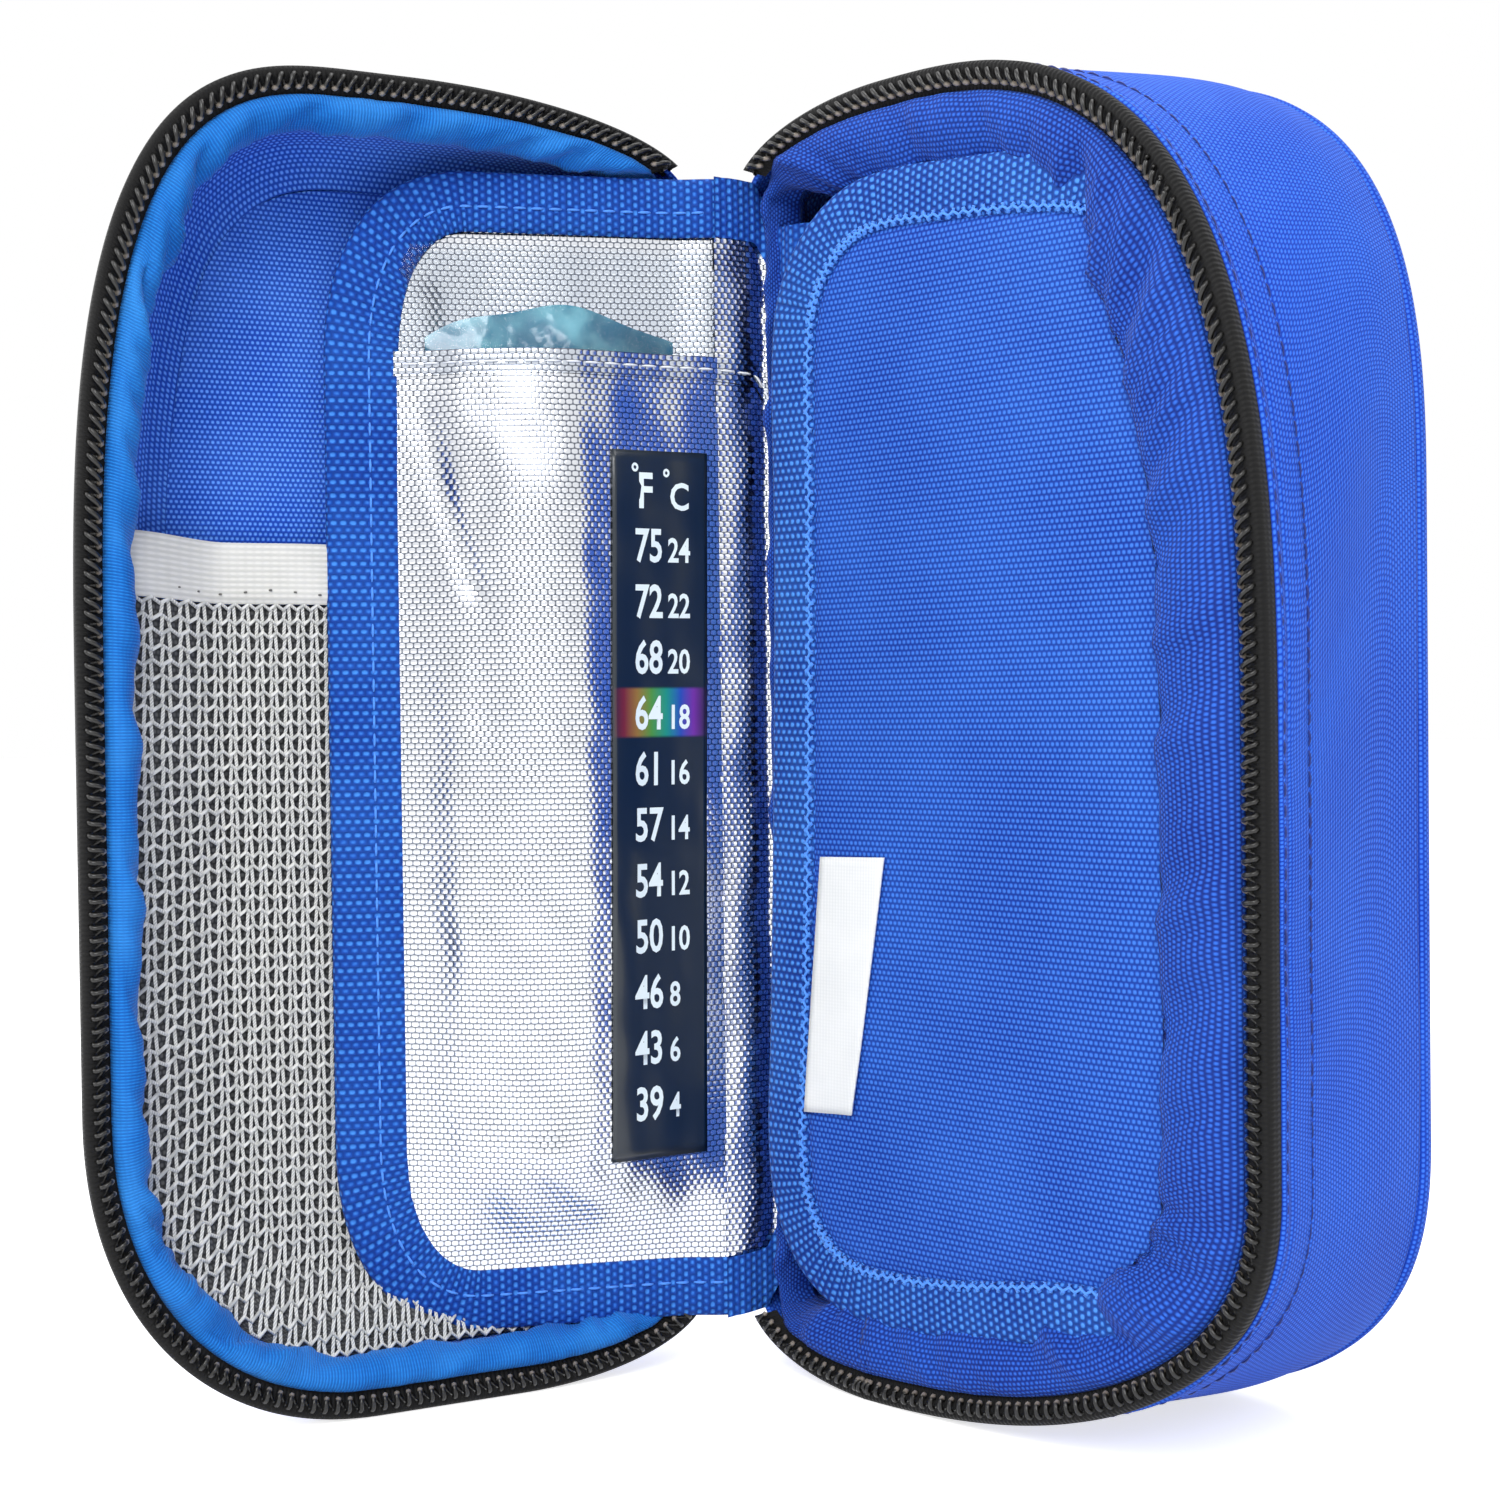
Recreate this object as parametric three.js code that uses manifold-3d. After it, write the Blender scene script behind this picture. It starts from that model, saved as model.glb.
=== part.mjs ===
// Soft-sided cooling case for insulin, standing open like a book.
// Millimetres, +Z up. The origin is at the middle of the flat foot of the deep half.
// The pieces are placed from the hinge line of the spine, a vertical line through X = Y = 0, and
// the finished case is then moved to its origin. The deep half runs from that line along +X, its
// open side facing -Y. The shallow lid is its mirror image, turned open about the line. A foil
// page with an ice pack hangs between them and turns about the same line.

import * as THREE from "three";
import { mergeVertices } from "three/addons/utils/BufferGeometryUtils.js";
import Module from "manifold-3d";

const wasm = await Module();
wasm.setup();

// Both halves
const CASE_HEIGHT = 220;
const RIM_WIDTH = 106;
const MAIN_DEPTH = 50;
const LID_DEPTH = 25;
const SPINE_GAP = 3;
const SPINE_CORNER_WIDTH = 35;
const SPINE_CORNER_HEIGHT = 14;
const FREE_CORNER_WIDTH = 47;
const FREE_CORNER_HEIGHT = 58;
const REST_OPENING_DEG = 108;

// Build-up of a wall, from the outside in
const SEAM = 0.3;
const FABRIC = 0.9;
const FOAM = 2.4;
const LINING = 0.8;
const BACK_EDGE = 6;
const BACK_ROUNDING = 4;
const LINING_ROUNDING = 5;
const OVERRUN = 5;

// Zipper
const RIM_CLEARANCE = 0.25;
const TEETH_DEPTH = 1.9;
const TEETH_WIDTH = 1.8;
const TAPE_THICKNESS = 0.6;
const TAPE_DEPTH = 8.2;
const TAPE_SHOWN = 4.4;
const SLIDER_LENGTH = 9;
const SLIDER_WIDTH = 4.2;
const LUG_REACH = 9;
const LUG_THICKNESS = 0.9;
const LUG_HEIGHT = 5;
const LUG_PIN_RADIUS = 0.8;
const TAB_LENGTH = 30;
const TAB_WIDTH = 6.4;
const TAB_THICKNESS = 1.4;
const STOP_LENGTH = 4;
const STOP_WIDTH = 2.4;

// Spine strip, a cover that folds along the hinge line
const SPINE_STRIP_INSET = 27;
const STRIP_REACH = 9.5;
const STRIP_BEND = 5.2;

// Cover flap over the deep half
const FLAP_SPINE_INSET = 6.3;
const FLAP_SIDE_INSET = 6.5;
const FLAP_END_INSET = 14.5;
const FLAP_DEPTH = 4;
const FLAP_HINGE_INSET = 15.5;
const FLAP_CORNER = 26;
const FLAP_FREE_CORNER_WIDTH = 43;
const FLAP_FREE_CORNER_HEIGHT = 58;
const FLAP_COVER = 0.8;
const FLAP_FOAM = 1.2;
const FLAP_FOIL = 0.6;
const FLAP_BINDING_WIDTH = 10;
const BINDING_PROUD = 0.3;
const LABEL_LENGTH = 43;
const LABEL_WIDTH = 13;
const LABEL_BOTTOM = 48;
const LABEL_THICKNESS = 0.4;

// Elastic loops for insulin pens
const LOOP_COUNT = 3;
const LOOP_WIDTH = 19;
const LOOP_HEIGHT = 15;
const LOOP_PITCH = 24;
const LOOP_BAND_WIDTH = 25;
const LOOP_BAND_HEIGHT = 98;
const LOOP_BAND_THICKNESS = 0.9;
const LOOP_BAND_INSET = 3.9;

// Foil page with the ice pack, measured from the hinge line
const PAGE_TUCK_DEG = 14;
const PAGE_PROUD = 0.5;
const PAGE_ROOT = 3;
const PAGE_WIDTH = 68;
const PAGE_BOTTOM = 9.5;
const PAGE_TOP_INSET = 11;
const PAGE_ROOT_CORNER_WIDTH = 15;
const PAGE_ROOT_CORNER_HEIGHT = 18;
const PAGE_FREE_CORNER_WIDTH = 25;
const PAGE_FREE_CORNER_HEIGHT = 34;
const PAGE_BINDING_WIDTH = 12.5;
const PAGE_BINDING_HEIGHT = 10.5;
const PAGE_BINDING_THICKNESS = 2;
const PAGE_PANEL = 0.8;
const PANEL_ROOT_CORNER = 3;
const FOLD_RADIUS = 0.45;
const WEB_THICKNESS = 0.8;
const WEB_DEPTH = 13;
const HEM_DROP = 31.5;
const POCKET_CROWN = 5;
const POCKET_RAMP = 18;
const HEM_HEIGHT = 4;
const HEM_THICKNESS = 0.4;
const STRIP_WIDTH = 17;
const STRIP_RISE = 30;
const STRIP_DROP = 18;
const STRIP_INSET = 1.8;
const STRIP_THICKNESS = 0.3;
const STRIP_LIFT = 0.4;

// Ice pack, placed from the page's edges
const PACK_ROOT_INSET = 4;
const PACK_FREE_INSET = 16;
const PACK_RISE = 20.5;
const PACK_DROP = 13.5;
const PACK_CORNER = 7;
const PACK_FILM = 0.4;
const PACK_SEAL_WIDTH = 7;
const PACK_CROWN = 3.9;
const PACK_GEL_CORNER = 12;

// Mesh pocket in the lid
const NET_TOP = 136;
const NET_THICKNESS = 0.7;
const NET_LIFT = 0.5;
const NET_EDGE = 4;
const NET_PITCH_WIDTH = 8.2;
const NET_PITCH_HEIGHT = 9.8;
const NET_GAP_WIDTH = 5.6;
const NET_GAP_HEIGHT = 6.8;
const ELASTIC_HEIGHT = 10;
const ELASTIC_THICKNESS = 1.3;

// Tolerance for merging corners, counts and plain ratios
const WELD_TOLERANCE = 1e-4;
const CORNER_STEPS = 8;
const PIN_SIDES = 10;
const FOLD_SIDES = 8;
const ROUND_SHARE = 2;
const SQUARED_SHARE = 2.3;
const BEND_SHARE = 0.3;
const POCKET_STATION_SHARES = [0, 0.04, 0.1, 0.2, 0.32, 0.5, 0.68, 0.8, 0.9, 0.96, 1];
const POCKET_ROW_SHARES = [0, 0.02, 0.05, 0.1, 0.16, 1];
const POCKET_CROWN_SHARE = 3;
const POCKET_RAMP_SHARE = 3;
const GEL_LAYER_SHARES = [
  [0.12, 0],
  [0, 0.06],
  [0, 0.2],
  [0.16, 0.55],
  [0.42, 0.84],
  [0.8, 1],
];

const restOpening = THREE.MathUtils.degToRad(REST_OPENING_DEG);
const pageAngle = THREE.MathUtils.degToRad(REST_OPENING_DEG + PAGE_TUCK_DEG);

const colours = {
  shell: { color: 0x2257dc, roughness: 0.85 },
  lining: { color: 0x2478dc, roughness: 0.85 },
  webbing: { color: 0x1458c8, roughness: 0.8 },
  foam: { color: 0xe8e8e2, roughness: 1 },
  tape: { color: 0x101012, roughness: 0.85 },
  teeth: { color: 0x1a1816, roughness: 0.35 },
  metal: { color: 0x2b2b2e, roughness: 0.35, metalness: 0.9 },
  foil: { color: 0xc9ced8, roughness: 0.3, metalness: 0.8 },
  net: { color: 0xc3c5c4, roughness: 0.8 },
  elastic: { color: 0xf2f3f4, roughness: 0.8 },
  label: { color: 0xf4f4f2, roughness: 0.7 },
  gel: { color: 0x1f9fb4, roughness: 0.25 },
  film: { color: 0xdfe9ee, roughness: 0.15 },
  strip: { color: 0x0c2230, roughness: 0.35 },
};

// A named sub-part with its own material.
function piece(name, geometry, colour) {
  const mesh = new THREE.Mesh(geometry, new THREE.MeshStandardMaterial(colours[colour]));
  mesh.name = name;
  return mesh;
}

// Geometry with only its positions kept and its shared corners merged.
function welded(geometry) {
  const bare = new THREE.BufferGeometry();
  bare.setAttribute("position", geometry.getAttribute("position"));
  bare.setIndex(geometry.getIndex());
  return mergeVertices(bare, WELD_TOLERANCE);
}

function toSolid(geometry) {
  const merged = welded(geometry);
  const vertProperties = merged.getAttribute("position").array;
  const triVerts = new Uint32Array(merged.getIndex().array);
  return new wasm.Manifold(new wasm.Mesh({ numProp: 3, vertProperties, triVerts }));
}

function toGeometry(solid) {
  const mesh = solid.getMesh();
  const geometry = new THREE.BufferGeometry();
  geometry.setAttribute("position", new THREE.BufferAttribute(mesh.vertProperties, 3));
  geometry.setIndex(new THREE.BufferAttribute(mesh.triVerts, 1));
  geometry.computeVertexNormals();
  return geometry;
}

function joined(first, ...others) {
  return toGeometry(others.reduce((sum, next) => sum.add(toSolid(next)), toSolid(first)));
}

function cut(body, ...tools) {
  return toGeometry(tools.reduce((rest, tool) => rest.subtract(toSolid(tool)), toSolid(body)));
}

function clipped(body, region) {
  return toGeometry(toSolid(body).intersect(toSolid(region)));
}

// A box between two corners, each given as x, y, z.
function block(low, high) {
  const size = high.map((value, axis) => value - low[axis]);
  const middle = high.map((value, axis) => (value + low[axis]) / 2);
  return new THREE.BoxGeometry(...size).translate(...middle);
}

// Points of one rounded corner, a quarter of a superellipse from startTurn quarter turns on.
function cornerPoints(centre, width, height, startTurn, share) {
  const points = [];
  for (let step = 0; step <= CORNER_STEPS; step += 1) {
    const angle = ((startTurn + step / CORNER_STEPS) * Math.PI) / 2;
    const across = Math.cos(angle);
    const up = Math.sin(angle);
    const x = centre[0] + width * Math.sign(across) * Math.abs(across) ** (2 / share);
    const z = centre[1] + height * Math.sign(up) * Math.abs(up) ** (2 / share);
    points.push(new THREE.Vector2(x, z));
  }
  return points;
}

// Outline with round corners on its left side and squarer ones on its right side. It runs
// anticlockwise from the top of the lower left corner to the foot of the upper left one.
function outline({ left, right, bottom, top, leftCorner, rightCorner }) {
  const [leftWidth, leftHeight] = leftCorner;
  const [rightWidth, rightHeight] = rightCorner;
  const lower = bottom + rightHeight;
  const upper = top - rightHeight;
  return [
    ...cornerPoints([left + leftWidth, bottom + leftHeight], leftWidth, leftHeight, 2, ROUND_SHARE),
    ...cornerPoints([right - rightWidth, lower], rightWidth, rightHeight, 3, SQUARED_SHARE),
    ...cornerPoints([right - rightWidth, upper], rightWidth, rightHeight, 0, SQUARED_SHARE),
    ...cornerPoints([left + leftWidth, top - leftHeight], leftWidth, leftHeight, 1, ROUND_SHARE),
  ];
}

// Outline of a half of the case, drawn in from its outer face.
function caseOutline(inset) {
  return outline({
    left: SPINE_GAP + inset,
    right: SPINE_GAP + RIM_WIDTH - inset,
    bottom: inset,
    top: CASE_HEIGHT - inset,
    leftCorner: [SPINE_CORNER_WIDTH - inset, SPINE_CORNER_HEIGHT - inset],
    rightCorner: [FREE_CORNER_WIDTH - inset, FREE_CORNER_HEIGHT - inset],
  });
}

// Least and greatest x of an outline at a height.
function spanAt(points, height) {
  const found = [];
  points.forEach((start, index) => {
    const end = points[(index + 1) % points.length];
    if (start.y <= height !== end.y <= height) {
      found.push(start.x + ((end.x - start.x) * (height - start.y)) / (end.y - start.y));
    }
  });
  return [Math.min(...found), Math.max(...found)];
}

// A flat sheet between two depths, with its outline seen from the front.
function slab(points, front, back, holes = []) {
  const shape = new THREE.Shape(points);
  shape.holes = holes.map((hole) => new THREE.Path(hole));
  const geometry = new THREE.ExtrudeGeometry(shape, { depth: back - front, bevelEnabled: false });
  return geometry.rotateX(Math.PI / 2).translate(0, back, 0);
}

// Signed volume of a closed triangle mesh, positive when its faces point out.
function signedVolume(positions, index) {
  const corner = (n) => new THREE.Vector3().fromArray(positions, 3 * index[n]);
  let sum = 0;
  for (let n = 0; n < index.length; n += 3) {
    sum += corner(n).dot(corner(n + 1).cross(corner(n + 2)));
  }
  return sum / 6;
}

// A closed solid through rings of equal point counts. It joins its last ring to its first, or is
// capped at both ends by triangles drawn on the flat shape of a ring.
function loft(rings, capShape) {
  const count = rings[0].length;
  const positions = rings.flat().flatMap((point) => point.toArray());
  const index = [];
  const spans = capShape ? rings.length - 1 : rings.length;
  for (let ring = 0; ring < spans; ring += 1) {
    for (let n = 0; n < count; n += 1) {
      const near = ring * count;
      const far = ((ring + 1) % rings.length) * count;
      const next = (n + 1) % count;
      index.push(near + n, near + next, far + next);
      index.push(near + n, far + next, far + n);
    }
  }
  if (capShape) {
    const last = (rings.length - 1) * count;
    const turn = THREE.ShapeUtils.isClockWise(capShape) ? 1 : -1;
    THREE.ShapeUtils.triangulateShape(capShape, []).forEach(([a, b, c]) => {
      index.push(...(turn > 0 ? [a, b, c] : [c, b, a]));
      index.push(...(turn > 0 ? [last + c, last + b, last + a] : [last + a, last + b, last + c]));
    });
  }
  if (signedVolume(positions, index) < 0) {
    index.reverse();
  }
  const geometry = new THREE.BufferGeometry();
  geometry.setAttribute("position", new THREE.Float32BufferAttribute(positions, 3));
  geometry.setIndex(index);
  geometry.computeVertexNormals();
  return geometry;
}

// Rings that follow the case's outline, one for each inset and depth.
function caseRings(layers) {
  return layers.map(([inset, depth]) =>
    caseOutline(inset).map((point) => new THREE.Vector3(point.x, depth, point.y)),
  );
}

// A band all round the case, with the section given as insets and depths.
function caseBand(section) {
  return loft(caseRings(section));
}

// A tray or plate that closes the case's outline, built up in layers.
function caseTray(layers) {
  return loft(caseRings(layers), caseOutline(layers[0][0]));
}

// A strip along the rim that leaves the straight side of the spine open.
function rimStrip(section) {
  const rings = caseRings(section);
  const count = rings[0].length;
  const along = [];
  for (let n = 0; n < count; n += 1) {
    along.push(rings.map((ring) => ring[n]));
  }
  return loft(
    along,
    section.map(([inset, depth]) => new THREE.Vector2(inset, depth)),
  );
}

// Where the layers of a wall lie, as insets from the outer face and depths from the back.
const tapeInset = FABRIC + SEAM;
const teethInset = tapeInset + TAPE_THICKNESS + SEAM;
const foamInset = FABRIC + SEAM;
const liningInset = foamInset + FOAM + SEAM;
const liningLipDepth = RIM_CLEARANCE + TEETH_DEPTH + SEAM;
const liningWallDepth = RIM_CLEARANCE + TAPE_DEPTH + SEAM;
const liningInner = liningInset + LINING;
const lipInner = teethInset + LINING;

function backPanel(depth) {
  const outerBend = BEND_SHARE * BACK_ROUNDING;
  const innerBend = BEND_SHARE * (BACK_ROUNDING - FABRIC);
  const start = depth - BACK_EDGE;
  return caseTray([
    [BACK_ROUNDING, depth - FABRIC],
    [FABRIC + innerBend, depth - FABRIC - innerBend],
    [FABRIC, depth - BACK_ROUNDING],
    [FABRIC, start],
    [0, start],
    [0, depth - BACK_ROUNDING],
    [outerBend, depth - outerBend],
    [BACK_ROUNDING, depth],
  ]);
}

function gusset(depth) {
  const front = RIM_CLEARANCE + TAPE_SHOWN;
  const back = depth - BACK_EDGE - SEAM;
  return caseBand([
    [0, front],
    [0, back],
    [FABRIC, back],
    [FABRIC, front],
  ]);
}

function foamBack(depth) {
  const back = depth - FABRIC - SEAM;
  const inset = BACK_ROUNDING;
  return slab(caseOutline(inset), back - FOAM, back);
}

function foamSide(depth) {
  const front = liningWallDepth + SEAM + LINING;
  const back = depth - BACK_EDGE - 2 * SEAM;
  return caseBand([
    [foamInset, front],
    [foamInset, back],
    [foamInset + FOAM, back],
    [foamInset + FOAM, front],
  ]);
}

// Depth of the lining's inner face at the back of a half.
function floorDepth(depth) {
  return depth - FABRIC - FOAM - LINING - 2 * SEAM;
}

function lining(depth) {
  const floor = floorDepth(depth);
  const bend = BEND_SHARE * LINING_ROUNDING;
  const straight = floor - LINING_ROUNDING;
  return caseTray([
    [liningInner + LINING_ROUNDING, floor],
    [liningInner + bend, floor - bend],
    [liningInner, straight],
    [liningInner, liningWallDepth + LINING],
    [lipInner, liningWallDepth - TEETH_WIDTH],
    [lipInner, liningLipDepth],
    [teethInset, liningLipDepth],
    [teethInset, liningWallDepth - TEETH_WIDTH],
    [liningInset, liningWallDepth + LINING],
    [liningInset, straight],
    [liningInset + bend, floor - bend + LINING],
    [liningInner + LINING_ROUNDING, floor + LINING],
  ]);
}

function zipperTape() {
  return rimStrip([
    [tapeInset, RIM_CLEARANCE],
    [tapeInset, RIM_CLEARANCE + TAPE_DEPTH],
    [tapeInset + TAPE_THICKNESS, RIM_CLEARANCE + TAPE_DEPTH],
    [tapeInset + TAPE_THICKNESS, RIM_CLEARANCE],
  ]);
}

function zipperTeeth() {
  return rimStrip([
    [teethInset, RIM_CLEARANCE],
    [teethInset, RIM_CLEARANCE + TEETH_DEPTH],
    [teethInset + TEETH_WIDTH, RIM_CLEARANCE + TEETH_DEPTH],
    [teethInset + TEETH_WIDTH, RIM_CLEARANCE],
  ]);
}

// A cover strip beside the spine, bent from the hinge line on to the side of the half.
function spineStrip() {
  const outer = SPINE_GAP - SEAM - LINING;
  const inner = SPINE_GAP - SEAM;
  const section = [
    [SEAM, SEAM],
    [SEAM + LINING, SEAM],
    [inner, STRIP_BEND],
    [inner, STRIP_REACH],
    [outer, STRIP_REACH],
    [outer, STRIP_BEND + SEAM],
  ].map(([x, y]) => new THREE.Vector2(x, y));
  const depth = CASE_HEIGHT - 2 * SPINE_STRIP_INSET;
  const shape = new THREE.Shape(section);
  const strip = new THREE.ExtrudeGeometry(shape, { depth, bevelEnabled: false });
  return strip.translate(0, 0, SPINE_STRIP_INSET);
}

// The pieces that the two halves have alike.
function halfPieces(name, depth) {
  return [
    piece(`${name}_back_panel`, backPanel(depth), "shell"),
    piece(`${name}_gusset`, gusset(depth), "shell"),
    piece(`${name}_foam_back`, foamBack(depth), "foam"),
    piece(`${name}_foam_side`, foamSide(depth), "foam"),
    piece(`${name}_lining`, lining(depth), "lining"),
    piece(`${name}_zipper_tape`, zipperTape(), "tape"),
    piece(`${name}_zipper_teeth`, zipperTeeth(), "teeth"),
    piece(`${name}_spine_strip`, spineStrip(), "shell"),
  ];
}

// Elastic band sewn to the floor of the deep half, standing up in arches for the pens.
function penLoopBand() {
  const base = floorDepth(MAIN_DEPTH) - SEAM;
  const top = base - LOOP_BAND_THICKNESS;
  const low = LOOP_BAND_HEIGHT;
  const high = low + LOOP_BAND_WIDTH;
  const middle = SPINE_GAP + RIM_WIDTH / 2;
  const reach = RIM_WIDTH / 2 - liningInner - LINING_ROUNDING - LOOP_BAND_INSET;
  const arches = [];
  const tunnels = [];
  for (let loop = 0; loop < LOOP_COUNT; loop += 1) {
    const centre = middle + (loop - (LOOP_COUNT - 1) / 2) * LOOP_PITCH;
    const width = LOOP_WIDTH / 2 + LOOP_BAND_THICKNESS;
    const height = LOOP_HEIGHT + LOOP_BAND_THICKNESS;
    arches.push(halfRound([centre, top], width, height, low, high));
    tunnels.push(halfRound([centre, top], LOOP_WIDTH / 2, LOOP_HEIGHT, low - SEAM, high + SEAM));
  }
  return joined(
    block([middle - reach, top, low], [middle + reach, base, high]),
    ...arches.map((arch, loop) => cut(arch, tunnels[loop])),
  );
}

// A half round bar between two heights, bulging from its flat side towards -Y.
function halfRound([x, y], width, height, low, high) {
  const shape = new THREE.Shape();
  shape.absellipse(x, y, width, height, 0, Math.PI, true);
  const options = { depth: high - low, bevelEnabled: false, curveSegments: CORNER_STEPS };
  return new THREE.ExtrudeGeometry(shape, options).translate(0, 0, low);
}

// Slider at the top of the spine, with two cheeks and a pin that carry the pull tab behind it.
const pinY = LUG_REACH - LUG_PIN_RADIUS - LUG_THICKNESS;
const sliderBottom = CASE_HEIGHT - SPINE_STRIP_INSET + SEAM;
const pinZ = sliderBottom + SLIDER_LENGTH - LUG_HEIGHT / 2;

function zipperSlider() {
  const half = SLIDER_WIDTH / 2;
  const body = block([-half, -half, sliderBottom], [half, half, sliderBottom + SLIDER_LENGTH]);
  const lugIn = TAB_THICKNESS / 2 + SEAM;
  const lugOut = lugIn + LUG_THICKNESS;
  const lugFoot = pinZ - LUG_HEIGHT / 2;
  const lugTop = pinZ + LUG_HEIGHT / 2;
  const cheeks = [-1, 1].map((side) =>
    block(
      [Math.min(side * lugIn, side * lugOut), half - LUG_THICKNESS, lugFoot],
      [Math.max(side * lugIn, side * lugOut), LUG_REACH, lugTop],
    ),
  );
  const span = lugIn + lugOut;
  const pin = new THREE.CylinderGeometry(LUG_PIN_RADIUS, LUG_PIN_RADIUS, span, PIN_SIDES);
  pin.rotateZ(Math.PI / 2).translate(0, pinY, pinZ);
  return joined(body, ...cheeks, pin);
}

// Flat tab that hangs from the slider's pin.
function pullTab() {
  const half = TAB_WIDTH / 2;
  const shape = new THREE.Shape();
  shape.moveTo(pinY - half, pinZ);
  shape.lineTo(pinY - half, pinZ - TAB_LENGTH + half);
  shape.absarc(pinY, pinZ - TAB_LENGTH + half, half, Math.PI, 2 * Math.PI, false);
  shape.lineTo(pinY + half, pinZ);
  shape.absarc(pinY, pinZ, half, 0, Math.PI, false);
  const eye = new THREE.Path();
  eye.absarc(pinY, pinZ, LUG_PIN_RADIUS + SEAM, 0, 2 * Math.PI, true);
  shape.holes.push(eye);
  const options = { depth: TAB_THICKNESS, bevelEnabled: false, curveSegments: CORNER_STEPS };
  const tab = new THREE.ExtrudeGeometry(shape, options);
  // The drawn axes X, Y and the thickness become Y, Z and X.
  tab.applyMatrix4(new THREE.Matrix4().set(0, 0, 1, 0, 1, 0, 0, 0, 0, 1, 0, 0, 0, 0, 0, 1));
  return tab.translate(-TAB_THICKNESS / 2, 0, 0);
}

function zipperStop() {
  const half = STOP_WIDTH / 2;
  const top = SPINE_STRIP_INSET - SEAM;
  return block([-half, -half, top - STOP_LENGTH], [half, half, top]);
}

// Cover flap. It is cut straight at its hinge, and the rest of its outline is sewn down.
const flapBack = FLAP_DEPTH + FLAP_COVER + FLAP_FOAM + FLAP_FOIL + 2 * SEAM;
const flapLeft = SPINE_GAP + FLAP_SPINE_INSET;
const flapHingeX = SPINE_GAP + RIM_WIDTH - FLAP_HINGE_INSET;

function flapOutline() {
  return outline({
    left: flapLeft,
    right: SPINE_GAP + RIM_WIDTH - FLAP_SIDE_INSET,
    bottom: FLAP_END_INSET,
    top: CASE_HEIGHT - FLAP_END_INSET,
    leftCorner: [FLAP_CORNER, FLAP_CORNER],
    rightCorner: [FLAP_FREE_CORNER_WIDTH, FLAP_FREE_CORNER_HEIGHT],
  });
}

function leftOfHinge(geometry) {
  return clipped(geometry, block([0, 0, 0], [flapHingeX - SEAM, MAIN_DEPTH, CASE_HEIGHT]));
}

function flapLayer(front, thickness) {
  const inset = FLAP_BINDING_WIDTH + SEAM;
  return leftOfHinge(slab(flapPanelOutline(inset), front, front + thickness));
}

// The flap's panel, bound on three sides only, so that it keeps its full reach at the hinge.
function flapPanelOutline(inset) {
  return outline({
    left: flapLeft + inset,
    right: SPINE_GAP + RIM_WIDTH + inset,
    bottom: FLAP_END_INSET + inset,
    top: CASE_HEIGHT - FLAP_END_INSET - inset,
    leftCorner: [FLAP_CORNER - inset, FLAP_CORNER - inset],
    rightCorner: [FLAP_FREE_CORNER_WIDTH, FLAP_FREE_CORNER_HEIGHT],
  });
}

function flapBinding() {
  const front = FLAP_DEPTH - BINDING_PROUD;
  const back = flapBack + BINDING_PROUD;
  const whole = slab(flapOutline(), front, back);
  const inside = slab(flapPanelOutline(FLAP_BINDING_WIDTH), front - OVERRUN, back + OVERRUN);
  return leftOfHinge(cut(whole, inside));
}

// The sewn-down edge of the flap, between its fold and the side wall.
function flapHingeStrip() {
  const edge = slab(caseOutline(lipInner + SEAM), FLAP_DEPTH, FLAP_DEPTH + FLAP_COVER);
  const region = block([flapHingeX + SEAM, 0, 0], [2 * RIM_WIDTH, MAIN_DEPTH, CASE_HEIGHT]);
  const margin = FLAP_END_INSET + FLAP_BINDING_WIDTH;
  const ends = [
    block([0, 0, 0], [2 * RIM_WIDTH, MAIN_DEPTH, margin]),
    block([0, 0, CASE_HEIGHT - margin], [2 * RIM_WIDTH, MAIN_DEPTH, CASE_HEIGHT]),
  ];
  return cut(clipped(edge, region), ...ends);
}

function sideLabel() {
  const back = FLAP_DEPTH - SEAM;
  const left = flapLeft + FLAP_BINDING_WIDTH + SEAM;
  return block(
    [left, back - LABEL_THICKNESS, LABEL_BOTTOM],
    [left + LABEL_WIDTH, back, LABEL_BOTTOM + LABEL_LENGTH],
  );
}

function flapPieces() {
  const foam = FLAP_DEPTH + FLAP_COVER + SEAM;
  const foil = foam + FLAP_FOAM + SEAM;
  return [
    piece("flap_outer_cover", flapLayer(FLAP_DEPTH, FLAP_COVER), "shell"),
    piece("flap_foam", flapLayer(foam, FLAP_FOAM), "foam"),
    piece("flap_foil_lining", flapLayer(foil, FLAP_FOIL), "foil"),
    piece("flap_binding", flapBinding(), "webbing"),
    piece("side_label", sideLabel(), "label"),
  ];
}

// Foil page. Its X runs from the hinge line to its free edge and its +Y faces the reader.
const pageTop = CASE_HEIGHT - PAGE_TOP_INSET;
const hemTop = pageTop - HEM_DROP;

function pageOutline() {
  return outline({
    left: PAGE_ROOT,
    right: PAGE_WIDTH,
    bottom: PAGE_BOTTOM,
    top: pageTop,
    leftCorner: [PAGE_ROOT_CORNER_WIDTH, PAGE_ROOT_CORNER_HEIGHT],
    rightCorner: [PAGE_FREE_CORNER_WIDTH, PAGE_FREE_CORNER_HEIGHT],
  });
}

// The opening inside the page's binding, drawn in by a further inset.
function panelOutline(inset) {
  const width = PAGE_BINDING_WIDTH + inset;
  const height = PAGE_BINDING_HEIGHT + inset;
  return outline({
    left: PAGE_ROOT + inset,
    right: PAGE_WIDTH - width,
    bottom: PAGE_BOTTOM + height,
    top: pageTop - height,
    leftCorner: [PANEL_ROOT_CORNER, PAGE_ROOT_CORNER_HEIGHT - PAGE_BINDING_HEIGHT],
    rightCorner: [PAGE_FREE_CORNER_WIDTH - width, PAGE_FREE_CORNER_HEIGHT - height],
  });
}

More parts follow.
